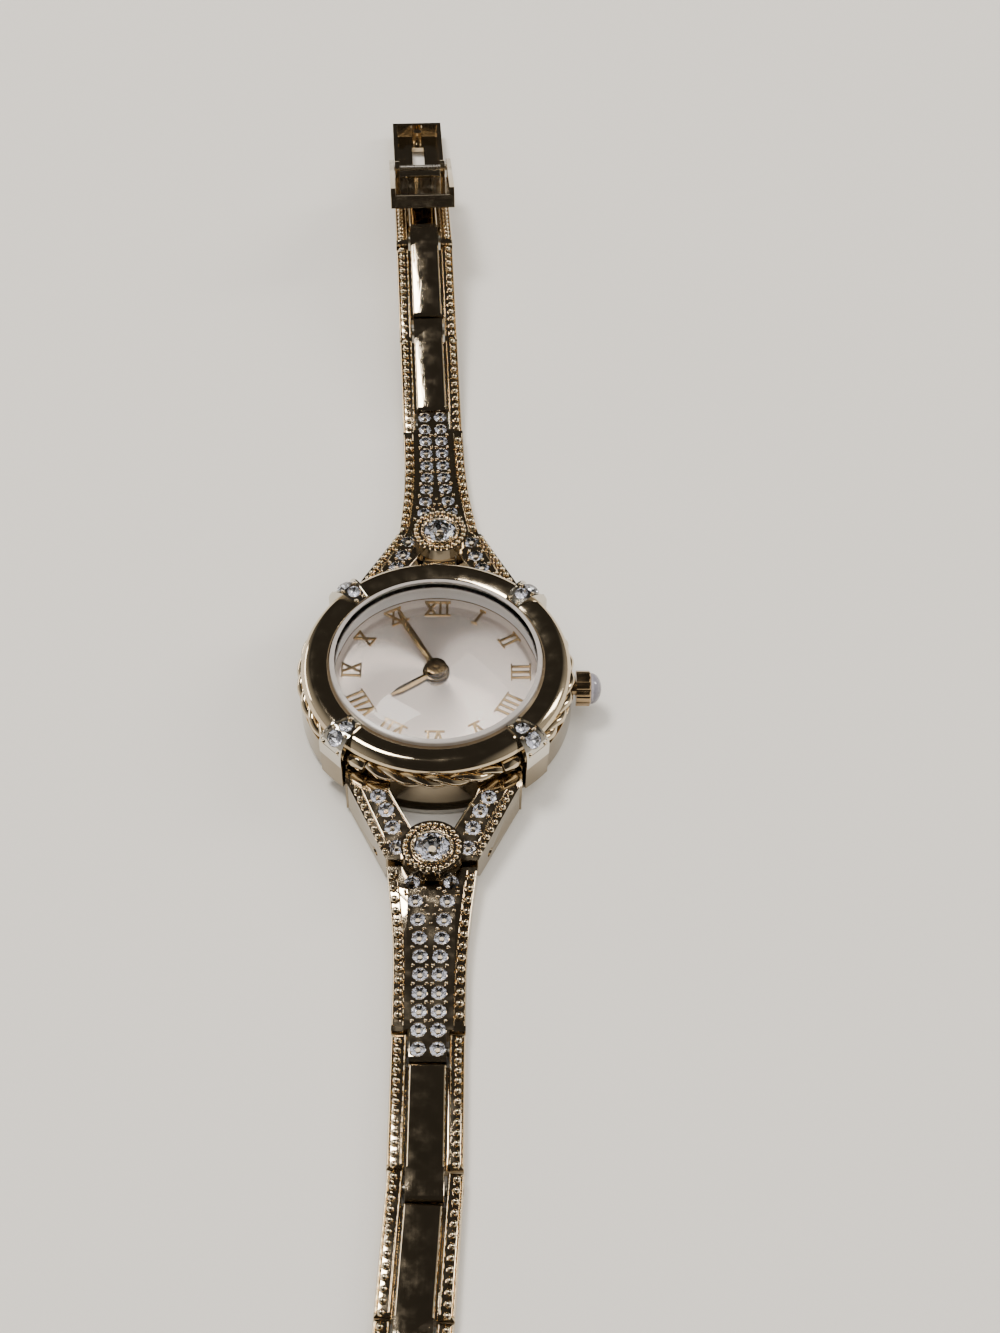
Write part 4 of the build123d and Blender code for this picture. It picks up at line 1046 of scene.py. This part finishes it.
def barrel_mesh():
    """Plain rounded lengths that end the rope beside the claws at 6 and 12 o'clock."""
    pieces = []
    for middle in barrel_middles:
        points = []
        for along, size in barrel_section:
            angle = math.radians(middle + along * barrel_half)
            for k in range(barrel_around):
                turn = math.tau * k / barrel_around
                reach = rope_ring_radius + rope_radius * size * math.cos(turn)
                z = rope_z + rope_radius * size * math.sin(turn)
                points.append((reach * math.cos(angle), reach * math.sin(angle), z))
        faces = tube_faces(len(barrel_section), barrel_around)
        pieces.append(mesh_of("barrel", points, faces, "gold", 50))
    return joined("rope_barrels", pieces)


def claw_set():
    """The four claws as one mesh."""
    claws = []
    for turn in corner_turns:
        claw = claw_mesh()
        claw.transform(turn)
        claws.append(claw)
    return shaded(joined("claws_set", claws), 32)


def rope_mesh(pitch):
    """The twisted rope with its plain ends."""
    values = {
        "Strand radius": rope_radius * strand_share * MM,
        "Twist radius": rope_radius * twist_share * MM,
        "Twist pitch": pitch,
        "Step": rope_step * MM,
    }
    strands = grown("rope_twisted", rope_path(), grown_trees["rope"], values, 60)
    return shaded(joined("rope_twisted", [strands, barrel_mesh()]), 60)


class WATCH_OT_case(bpy.types.Operator):
    """Make the case, the bezel, the claws, the rope ring and the glass"""

    bl_idname = "watch.make_case"
    bl_label = "Case and bezel"

    def execute(self, context):
        # The case's upright walls take the darkened gold: painted shade
        dress("case_body", "gold", "head", 0.09, "shaded_wall_metal")
        dress("case_back", "back_steel", "head", 0.03)
        paint("rubber", "case_back_gasket")
        paint("gasket", "crystal_gasket")
        place_piece("bezel_polished", bezel_mesh(), "head", ("bezel",))
        place_piece("claws_set", claw_set(), "head", ("bezel_claws",))
        stone_piece("claw_stones", claw_stone_spots(), "head", "claw_crystals")
        bead_piece("claw_grains", claw_grains(), "head")
        rope = rope_mesh(context.scene.watch_sizes.rope_pitch)
        place_piece("rope_twisted", rope, "head", ("rope_ring",))
        place_piece("crystal_clear", crystal_mesh(), "head", ("crystal",))
        return {"FINISHED"}


# Dial and hands

# The leaf of a hand, from its tip: shares of its half width at shares of its length, and then of its tail
leaf_shares = ((1, 0.8), (1, 0.5), (0.9, 0.2))
tail_shares = ((0.8, 0.5), (0.7, 1))
leaf_thickness = 0.12

# Each hand: its rise over the dial, its leaf and its boss. A leaf is a length, a tail, a width and a turn
# from 12 o'clock in degrees, and a boss an inner and an outer radius and a height
minute_rise = 0.5
minute_leaf = (7.3, 0.9, 0.6, 28.9)
minute_boss = (0.65, 0.95, 0.4)
hour_rise = 0.2
hour_leaf = (4.76, 0.3, 0.62, 125.5)
hour_boss = (0.95, 1.18, 0.12)


def leaf_hand(low, length, tail, width, turn):
    """A hand with a ridge along its middle, along +Y before its turn."""
    outline = [(0.05, length)]
    outline += [(width / 2 * across, length * along) for across, along in leaf_shares]
    outline += [(width / 2 * across, -tail * along) for across, along in tail_shares]
    points = []
    for x, y in outline:
        flank = low + leaf_thickness * 0.45
        points += [(-x, y, low), (-x, y, flank), (0, y, low + leaf_thickness), (x, y, flank), (x, y, low)]
    matrix = Matrix.Rotation(math.radians(turn), 4, "Z")
    return mesh_of("hand", points, tube_faces(len(outline), 5), "hand_gold", 15, matrix)


def hub_mesh(inner, outer, low, high, cap):
    """The round boss of a hand, with a little turned centre where cap says so."""
    edge = 0.1
    profile = [(inner, low), (outer, low), (outer, high - edge), (outer - edge * 0.3, high - edge * 0.3)]
    profile += [(outer - edge, high)]
    if cap:
        profile += [(outer * 0.5, high), (outer * 0.46, high - 0.06), (outer * 0.34, high - 0.06)]
        profile += [(outer * 0.3, high + 0.05), (outer * 0.2, high + 0.09), (0.0, high + 0.1)]
        profile += [(0.0, high - 0.25), (inner, high - 0.25)]
    else:
        profile += [(inner, high)]
    # The boss takes the darkened hand gold: painted shade
    return lathed("hub", profile, "hub_shaded_gold", 48, 30)


def place_hand(name, rise, leaf, boss, cap):
    """One hand of its leaf and its boss."""
    low = dial_top_z + rise
    inner, outer, height = boss
    meshes = [leaf_hand(low, *leaf), hub_mesh(inner, outer, low, low + height, cap)]
    place_piece(f"{name}_leaf", joined(f"{name}_leaf", meshes), f"{name}_body", (name,))


class WATCH_OT_dial(bpy.types.Operator):
    """Make the dial's finish, the numerals and the hands"""

    bl_idname = "watch.make_dial"
    bl_label = "Dial and hands"

    def execute(self, context):
        paint("dial", "dial")
        dress("dial_numerals", "hand_gold", "head", 0.02)
        place_hand("minute_hand", minute_rise, minute_leaf, minute_boss, True)
        place_hand("hour_hand", hour_rise, hour_leaf, hour_boss, False)
        return {"FINISHED"}


# Crown

# The height of the crown's axis
crown_z = 3.0


def cabochon_mesh():
    """The clear domed stone on the crown's end, with a mirror back."""
    low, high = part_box("crown_cabochon")
    reach = (high.y - low.y) / 2 / MM
    rise = (high.x - low.x) / MM
    steps = 12
    over = [(0.0, rise)]
    for i in range(1, steps + 1):
        angle = math.pi / 2 * i / steps
        over.append((reach * math.sin(angle), rise * math.cos(angle)))
    mesh = lathed("crown_dome", over + [(0.0, 0.0)], "crown_stone", 48, 60)
    second_finish(mesh, "foil", lambda face: face.center.z < 0.01 * MM)
    mesh.transform(Matrix.Translation((low.x, 0, crown_z * MM)) @ Matrix.Rotation(math.pi / 2, 4, "Y"))
    return mesh


class WATCH_OT_crown(bpy.types.Operator):
    """Make the crown, its stone, its tube and its stem"""

    bl_idname = "watch.make_crown"
    bl_label = "Crown"

    def execute(self, context):
        dress("crown", "crown_gold", "crown_body", 0.06)
        place_piece("crown_dome", cabochon_mesh(), "crown_body", ("crown_cabochon",))
        paint("crown_gold", "crown_tube")
        paint("rubber", "crown_seal")
        paint("steel", "stem", "setting_slide")
        return {"FINISHED"}


class WATCH_OT_works(bpy.types.Operator):
    """Finish the movement inside the case"""

    bl_idname = "watch.finish_works"
    bl_label = "Movement"

    def execute(self, context):
        paint("brass", "cannon_pinion", "hour_wheel", "minute_wheel")
        paint("nickel", "movement_plate", "train_bridge")
        paint("plastic", "movement_holder")
        paint("board", "circuit_board")
        paint("steel", "battery", "battery_strap")
        paint("copper", "coil")
        paint("iron", "coil_core")
        return {"FINISHED"}


# Yokes

arm_root_half = 7.28
arm_end_half = 3.8
arm_root_inner_half = 3.65
arm_inner_half = 1.55
arm_top = 3.75
arm_end_top = 3.1
arm_outer_start = 11.14
arm_end_y = 18.25
arm_inner_start = 11.8
arm_inner_end = 15.6
setting_y = 17.65
setting_top = 4.15
setting_radius = 2.6
setting_stone_radius = 1.42
arm_stone_radius = 0.68
arm_first_stone_y = 12.31
arm_stone_run = 4.79
arm_stone_shares = ((0.0, 0.38), (0.27, 0.37), (0.61, 0.45), (1.0, 0.49))


def ramp(y, start, end, low, high):
    """A value that goes evenly from low at the start to high at the end, and no further."""
    return low + (high - low) * min(max((y - start) / (end - start), 0), 1)


def arm_inner_edge(y):
    """The arm's inner edge at the distance y from the case axis."""
    return ramp(y, arm_inner_start, arm_inner_end, arm_root_inner_half, arm_inner_half)


def arm_outer_edge(y):
    """The arm's outer edge at the distance y from the case axis."""
    return ramp(y, arm_outer_start, arm_end_y, arm_root_half, arm_end_half)


def arm_top_at(y):
    """The height of the arm's top at the distance y from the case axis."""
    return ramp(y, case_radius, arm_end_y, arm_top, arm_end_top)


# Across a ridge and across a ring: shares of the width and of the height
ridge_section = ((-0.5, -0.3), (-0.5, 0.3), (-0.3, 0.82), (0.0, 1.0), (0.3, 0.82), (0.5, 0.3), (0.5, -0.3))
ring_section = ((-0.5, -0.3), (-0.5, 0.3), (-0.3, 0.85), (0.0, 1.0), (0.3, 0.85), (0.5, 0.3), (0.5, -0.3))


def ridge(matrix, points, width, height):
    """A low rounded ridge along a run of points on a surface."""
    verts = []
    for i, (x, y, z) in enumerate(points):
        x0, y0 = points[max(i - 1, 0)][:2]
        x1, y1 = points[min(i + 1, len(points) - 1)][:2]
        length = math.hypot(x1 - x0, y1 - y0)
        side = ((y1 - y0) / length, (x0 - x1) / length)
        for u, v in ridge_section:
            verts.append((x + side[0] * u * width, y + side[1] * u * width, z + v * height))
    return mesh_of("ridge", verts, tube_faces(len(points), len(ridge_section)), "gold", 50, matrix)


def ring_ridge(matrix, y, z, radius, width, height):
    """A low rounded ring on a surface."""
    profile = [(radius + u * width, v * height) for u, v in ring_section]
    mesh = lathed("ring_ridge", profile, "gold", 64, 50)
    mesh.transform(matrix @ Matrix.Translation((0, y * MM, z * MM)))
    return mesh


def arm_spots():
    """Places of the stones along one arm."""
    return [
        (arm_inner_edge(y) + across * (arm_outer_edge(y) - arm_inner_edge(y)), y)
        for y, across in ((arm_first_stone_y + arm_stone_run * a, b) for a, b in arm_stone_shares)
    ]


# Rings of beads about the round setting: how many, at what radius, how high, and how large
setting_rings = ((26, setting_radius - 0.4, 0.02, 0.84), (24, 1.64, 0.2, 0.42))
setting_claw_radius = 1.45
# The ring about its stone: radius, width and height
setting_ring = (1.62, 0.34, 0.2)
# The lines along an arm: where they start, their step, and how far the inner one goes
arm_line_y = 11.55
arm_line_step = 0.64
arm_line_steps = 10
arm_inner_line_end = 15.8
arm_bead_pitch = 0.78
# How far the bead line lies in from the outer edge, how much nearer it comes, and the rib's distance from it
arm_line_in = 0.5
arm_line_nearer = 0.25
arm_rib_in = 0.5
arm_inner_out = 0.12
arm_bead_lift = 0.06
# Width and height of the rib and of the inner ridge
arm_rib = (0.2, 0.12)
arm_inner_ridge = (0.18, 0.12)
arm_grains = ((-0.62, -0.5), (0.62, -0.5), (-0.62, 0.55), (0.62, 0.55))


def arm_lines(sign, top):
    """The lines along one arm of its beads, its rib and its inner ridge."""
    lines = ([], [], [])
    for i in range(arm_line_steps + 1):
        y = arm_line_y + i * arm_line_step
        in_by = arm_line_in - arm_line_nearer * i / arm_line_steps
        reaches = [arm_outer_edge(y) - in_by, arm_outer_edge(y) - in_by - arm_rib_in]
        if y < arm_inner_line_end:
            reaches.append(arm_inner_edge(y) + arm_inner_out)
        for line, reach, lift in zip(lines, reaches, (arm_bead_lift, 0.0, 0.0)):
            x = sign * reach
            line.append((x, y, top(x, y, arm_top_at(y)) + lift))
    return lines


def circle_spots(matrix, count, radius, lift, start=0.0):
    """Points about the middle of the round setting."""
    spots = []
    for i in range(count):
        angle = start + math.tau * i / count
        x = radius * math.cos(angle)
        spots.append(spot(matrix, x, setting_y + radius * math.sin(angle), setting_top + lift))
    return spots


def dress_yoke(side, matrix):
    """One yoke: its metal, its beads and its stones."""
    # The yoke's upright walls take the darkened gold: painted shade
    parts = [dressed_mesh(f"{side}_yoke", "gold", 0.08, "shaded_wall_metal")]
    beads = []
    stones = []
    top = top_of(f"{side}_yoke", matrix)
    for sign in (-1, 1):
        outer, rib, inner = arm_lines(sign, top)
        beads += bead_row(matrix, outer, arm_bead_pitch, 1.0)
        parts.append(ridge(matrix, rib, *arm_rib))
        parts.append(ridge(matrix, inner, *arm_inner_ridge))
        for x, y in arm_spots():
            z = arm_top_at(y)
            turn = tilted(matrix, y, -0.1)
            stones.append((spot(matrix, sign * x, y, z - 0.06), arm_stone_radius * MM, turn))
            beads += [(spot(matrix, sign * x + dx, y + dy, z), 0.62) for dx, dy in arm_grains]
    for count, radius, lift, share in setting_rings:
        beads += [(place, share) for place in circle_spots(matrix, count, radius, lift)]
    parts.append(ring_ridge(matrix, setting_y, setting_top, *setting_ring))
    big = setting_stone_radius * 1.03 * MM
    stones.append((spot(matrix, 0, setting_y, setting_top - 0.05), big, tilted(matrix, 0.2)))
    beads += [(place, 0.8) for place in circle_spots(matrix, 4, setting_claw_radius, 0.12, math.pi / 4)]
    place_beaded(f"{side}_yoke", f"{side}_yoke", "head", parts, beads)
    stone_piece(f"{side}_yoke_stones", stones, "head", f"{side}_yoke_crystals")
    paint("steel", f"{side}_yoke_pin")


class WATCH_OT_yokes(bpy.types.Operator):
    """Make the two yokes with their beads, ribs and stones"""

    bl_idname = "watch.make_yokes"
    bl_label = "Yokes"

    def execute(self, context):
        for side, matrix in side_places.items():
            dress_yoke(side, matrix)
        return {"FINISHED"}


# Pave links

pave_start = 2.28
pave_level_y = 12.0
pave_start_top = 2.75
pave_far_end = 17.05
link_top = 1.9
# Where the flanks of the pave link's solid run: half width at distances from its own pin
pave_flank = ((2.28, 3.75), (4.4, 3.52), (6.4, 3.3), (8.4, 3.1), (11.3, 2.95), (14.28, 2.92), (18.5, 2.92))
# Its stones: how many in a column, the first, the step, and how far from the middle at both ends
pave_stones = 10
pave_first_stone_y = 3.79
pave_stone_step = 1.663
pave_stone_x = 0.77
pave_near_stone_x = 1.6
pave_stone_radius = 0.64
pave_bead_pitch = 1.05
pave_line_steps = 23
pave_line_start = 2.65
pave_line_run = pave_far_end - 3.1
# How far the bead line lies in from the flank, how much further it goes, and the ridges' own distances
pave_line_in = 0.4
pave_line_further = 0.12
pave_rim_in = 0.1
pave_inner_in = 0.42
pave_bead_lift = 0.08
# Width and height of the rim and of the inner ridge
pave_rim = (0.16, 0.14)
pave_inner_ridge = (0.14, 0.14)
# The grains after each pair of stones, and the narrowing field of them beside the yoke
pave_grain_after = 0.83
pave_grain_half = 0.55
field_rows = 6
field_start_y = 3.55
field_step = 0.78
field_half = 0.75


def pave_top_at(y):
    """The height of the pave band at the distance y from the link's own pin."""
    share = min(max((pave_level_y - y) / (pave_level_y - pave_start), 0), 1)
    return link_top + (pave_start_top - link_top) * share * share


def pave_half_at(y):
    """Half the width of the pave link, as its solid's flank runs."""
    for (y0, x0), (y1, x1) in zip(pave_flank, pave_flank[1:]):
        if y <= y1:
            return x0 + (x1 - x0) * max(y - y0, 0) / (y1 - y0)
    return pave_flank[-1][1]


def pave_stone_spots():
    """Two columns of stones that spread towards the case."""
    spots = []
    for i in range(pave_stones):
        near = max(1 - i / 5, 0)
        x = pave_stone_x + (pave_near_stone_x - pave_stone_x) * near * near
        spots.append((x, pave_first_stone_y + i * pave_stone_step))
    return spots


def pave_lines(sign, top):
    """The lines along one flank of a pave link of its beads, its rim and its inner ridge."""
    lines = ([], [], [])
    for i in range(pave_line_steps + 1):
        y = pave_line_start + i * pave_line_run / pave_line_steps
        z = pave_top_at(y) - 0.3
        in_by = pave_line_in + pave_line_further * i / pave_line_steps
        ins = (in_by, pave_rim_in, in_by + pave_inner_in)
        for line, inwards, lift in zip(lines, ins, (pave_bead_lift, 0.0, 0.0)):
            x = sign * (pave_half_at(y) - inwards)
            line.append((x, y, top(x, y, z) + lift))
    return lines


def dress_pave_link(side, matrix):
    """One stone-set link: its metal, its beads and its stones."""
    parts = [dressed_mesh(f"{side}_pave_link", "gold", 0.08)]
    beads = []
    stones = []
    top = top_of(f"{side}_pave_link", matrix)
    for sign in (-1, 1):
        row, rim, inner = pave_lines(sign, top)
        beads += bead_row(matrix, row, pave_bead_pitch, 1.25)
        parts.append(ridge(matrix, rim, *pave_rim))
        parts.append(ridge(matrix, inner, *pave_inner_ridge))
        for x, y in pave_stone_spots():
            place = spot(matrix, sign * x, y, pave_top_at(y) - 0.05)
            stones.append((place, pave_stone_radius * MM, tilted(matrix, x + y)))
            if y < pave_far_end:
                after = y + pave_grain_after
                for across in (sign * x - pave_grain_half, sign * x + pave_grain_half):
                    beads.append((spot(matrix, across, after, pave_top_at(after)), 0.55))
    for i in range(field_rows):
        y = field_start_y + i * field_step
        half = field_half * (1 - i / field_rows)
        for x in (-half, half) if i < field_rows - 1 else (0.0,):
            beads.append((spot(matrix, x, y, pave_top_at(y)), 0.72 - 0.05 * i))
    body = f"{side}_pave_body"
    place_beaded(f"{side}_pave", f"{side}_pave_link", body, parts, beads)
    stone_piece(f"{side}_pave_stones", stones, body, f"{side}_pave_crystals")


class WATCH_OT_pave(bpy.types.Operator):
    """Make the two stone-set links"""

    bl_idname = "watch.make_pave"
    bl_label = "Stone-set links"

    def execute(self, context):
        for side, places in strap_places.items():
            dress_pave_link(side, places[0])
        return {"FINISHED"}


# Plain links

rail_top = 1.5
rail_inner = 1.65
rail_start = -1.35
rail_end = 10.05
rail_bead_pitch = 0.87
rail_line_steps = 6
# On a rail: how far its ridges and its beads lie in from its edges, and a ridge's width and height
rail_inner_ridge_in = 0.14
rail_outer_ridge_in = 0.12
rail_bead_in = 0.56
rail_ridge = (0.18, 0.2)


def link_ornament(matrix, top):
    """The two ridges and the bead row on each rail."""
    parts = []
    beads = []
    length = rail_end - rail_start
    for sign in (-1, 1):
        for x in (rail_inner + rail_inner_ridge_in, link_half - rail_outer_ridge_in):
            run = []
            for i in range(rail_line_steps + 1):
                y = rail_start + 0.3 + i * (length - 0.6) / rail_line_steps
                run.append((sign * x, y, top(sign * x, y, rail_top)))
            parts.append(ridge(matrix, run, *rail_ridge))
        x = sign * (link_half - rail_bead_in)
        z = top(x, (rail_start + rail_end) / 2, rail_top) + 0.08
        beads += bead_row(matrix, [(x, rail_start + 0.25, z), (x, rail_end - 0.1, z)], rail_bead_pitch, 1.05)
    return parts, beads


class WATCH_OT_links(bpy.types.Operator):
    """Make the plain links with their beaded rails"""

    bl_idname = "watch.make_links"
    bl_label = "Plain links"

    def execute(self, context):
        for side, places in strap_places.items():
            for i in (1, 2, 3):
                node = f"{side}_link_{i}"
                parts, beads = link_ornament(places[i], top_of(node, places[i]))
                parts.append(dressed_mesh(node, "block_gold", 0.07))
                place_beaded(node, node, f"{node}_body", parts, beads)
                paint("steel", f"{node}_pin")
        return {"FINISHED"}


class WATCH_OT_clasp(bpy.types.Operator):
    """Make the clasp, its cover and the ladder"""

    bl_idname = "watch.make_clasp"
    bl_label = "Clasp"

    def execute(self, context):
        dress("extension_ladder", "satin_gold", "ladder_body")
        dress("clasp_frame", "gold", "clasp_frame_body")
        dress("clasp_cover", "gold", "clasp_cover_body", 0.1)
        paint("steel", "extension_ladder_pin", "clasp_frame_pin", "clasp_cover_pin")
        return {"FINISHED"}


# Stage

# The lamps: name, place in metres, width, depth, power and colour. All point at the watch
lamps = (
    ("Key", (-0.22, 0.19, 0.75), 0.24, 0.2, 5.0, (1.0, 0.95, 0.88)),
    ("Right window", (0.66, 0.20, 0.41), 0.16, 0.32, 2.4, (1.0, 0.95, 0.87)),
    ("Left window", (-0.78, 0.46, 0.14), 0.5, 0.16, 1.6, (1.0, 0.95, 0.87)),
)
fill_lamp = ("Soft overhead", (0.1, -0.1, 0.9), 1.4, 1.4, 12.5, (1.0, 0.96, 0.91))
# The floor, in metres: half its width, and how far it lies under the watch
floor_half = 1.5
floor_drop = 0.00002

# The camera: its place in millimetres, its angles in degrees and its lens
camera_place = (3.126, -113.690, 144.744)
camera_tilt = 50.68
camera_swing = -1.21
camera_roll = 1.54
camera_lens = 56.0


def area_light(name, place, width, depth, power, colour):
    """A soft rectangular lamp that points at the watch."""
    lamp = bpy.data.lights.new(name, "AREA")
    lamp.shape = "RECTANGLE"
    lamp.size = width
    lamp.size_y = depth
    lamp.energy = power
    lamp.color = colour
    holder = held(name, lamp)
    holder.location = place
    holder.rotation_euler = (-Vector(place)).to_track_quat("-Z", "Y").to_euler()
    return holder


def floor_material(colour):
    """Pale plain paper-like surface."""
    material, tree, shader, place = new_material("Pale floor")
    coloured(tree, shader, noise(tree, place, 9.0), colour, 0.97, 1.03)
    shader.inputs["Roughness"].default_value = 0.75
    bumped(tree, shader, noise(tree, place, 1400.0, 4.0), 0.00002)
    return material


def place_camera():
    """The camera at the viewing angle of the picture, aimed from the case's front."""
    lens = bpy.data.cameras.new("Watch camera")
    lens.sensor_fit = "VERTICAL"
    lens.sensor_height = 36.0
    lens.lens = camera_lens
    lens.clip_start = 0.005
    camera = held("Watch camera", lens)
    tilt = math.radians(camera_tilt)
    swing = math.radians(camera_swing)
    roll = math.radians(camera_roll)
    back = Vector((math.sin(swing) * math.cos(tilt), -math.cos(swing) * math.cos(tilt), math.sin(tilt)))
    right = Vector((math.cos(swing), math.sin(swing), 0))
    up = back.cross(right)
    across = math.cos(roll) * right + math.sin(roll) * up
    upward = math.cos(roll) * up - math.sin(roll) * right
    turn = Matrix((across, upward, back)).transposed().to_4x4()
    camera.matrix_world = Matrix.Translation(Vector(camera_place) * MM) @ turn
    bpy.context.scene.camera = camera


def light_world():
    """A dim room: dark overhead and behind, paler to the left and right."""
    world = bpy.data.worlds.new("Studio")
    bpy.context.scene.world = world
    world.use_nodes = True
    tree = world.node_tree
    tree.nodes.clear()
    output = tree.nodes.new("ShaderNodeOutputWorld")
    light = tree.nodes.new("ShaderNodeBackground")
    tree.links.new(light.outputs[0], output.inputs[0])
    place = tree.nodes.new("ShaderNodeTexCoord")
    parts = tree.nodes.new("ShaderNodeSeparateXYZ")
    tree.links.new(place.outputs["Generated"], parts.inputs[0])
    spill = spread(tree, reckoned(tree, "ABSOLUTE", parts.outputs["X"]), 0.45, 0.95, 0.0, 1.0)
    tree.links.new(shades(tree, spill, (0.035, 0.032, 0.028), (0.50, 0.47, 0.42)), light.inputs[0])


class WATCH_OT_stage(bpy.types.Operator):
    """Make the floor, the lamps and the camera"""

    bl_idname = "watch.make_stage"
    bl_label = "Stage"

    def execute(self, context):
        mesh = bpy.data.meshes.new("floor")
        ends = ((-1, -1), (1, -1), (1, 1), (-1, 1))
        points = [(x * floor_half, y * floor_half, -floor_drop) for x, y in ends]
        mesh.from_pydata(points, [], [(0, 1, 2, 3)])
        mesh.materials.append(floor_material(tuple(context.scene.watch_colours.floor)))
        floor = held("floor", mesh)
        for lamp in lamps:
            area_light(*lamp)
        area_light(*fill_lamp).visible_glossy = False
        light_world()
        place_camera()
        return {"FINISHED"}


class WATCH_PT_panel(bpy.types.Panel):
    """The watch's sizes, colours and steps"""

    bl_idname = "WATCH_PT_panel"
    bl_label = "Bracelet watch"
    bl_space_type = "VIEW_3D"
    bl_region_type = "UI"
    bl_category = "Watch"

    def draw(self, context):
        layout = self.layout
        for group in (context.scene.watch_sizes, context.scene.watch_colours):
            box = layout.box()
            for label in group.bl_rna.properties.keys():
                if label not in ("rna_type", "name"):
                    box.prop(group, label)
        for operator in operators:
            layout.operator(operator.bl_idname)


operators = (
    WATCH_OT_case,
    WATCH_OT_dial,
    WATCH_OT_crown,
    WATCH_OT_works,
    WATCH_OT_yokes,
    WATCH_OT_pave,
    WATCH_OT_links,
    WATCH_OT_clasp,
    WATCH_OT_stage,
)
classes = (WatchSizes, WatchColours) + operators + (WATCH_PT_panel,)


def register():
    """Registers the classes and hangs the settings on the scene."""
    for entry in classes:
        bpy.utils.register_class(entry)
    bpy.types.Scene.watch_sizes = bpy.props.PointerProperty(type=WatchSizes)
    bpy.types.Scene.watch_colours = bpy.props.PointerProperty(type=WatchColours)


def unregister():
    """Takes the settings and the classes off again."""
    del bpy.types.Scene.watch_colours
    del bpy.types.Scene.watch_sizes
    for entry in reversed(classes):
        bpy.utils.unregister_class(entry)


def main():
    """Builds the watch and its stage."""
    register()
    finishes.update(make_materials())
    grown_trees.update({"beads": bead_tree(), "stones": stone_tree(), "rope": rope_tree()})
    for operator in operators:
        space, call = operator.bl_idname.split(".")
        getattr(getattr(bpy.ops, space), call)()


if __name__ == "__main__":
    main()
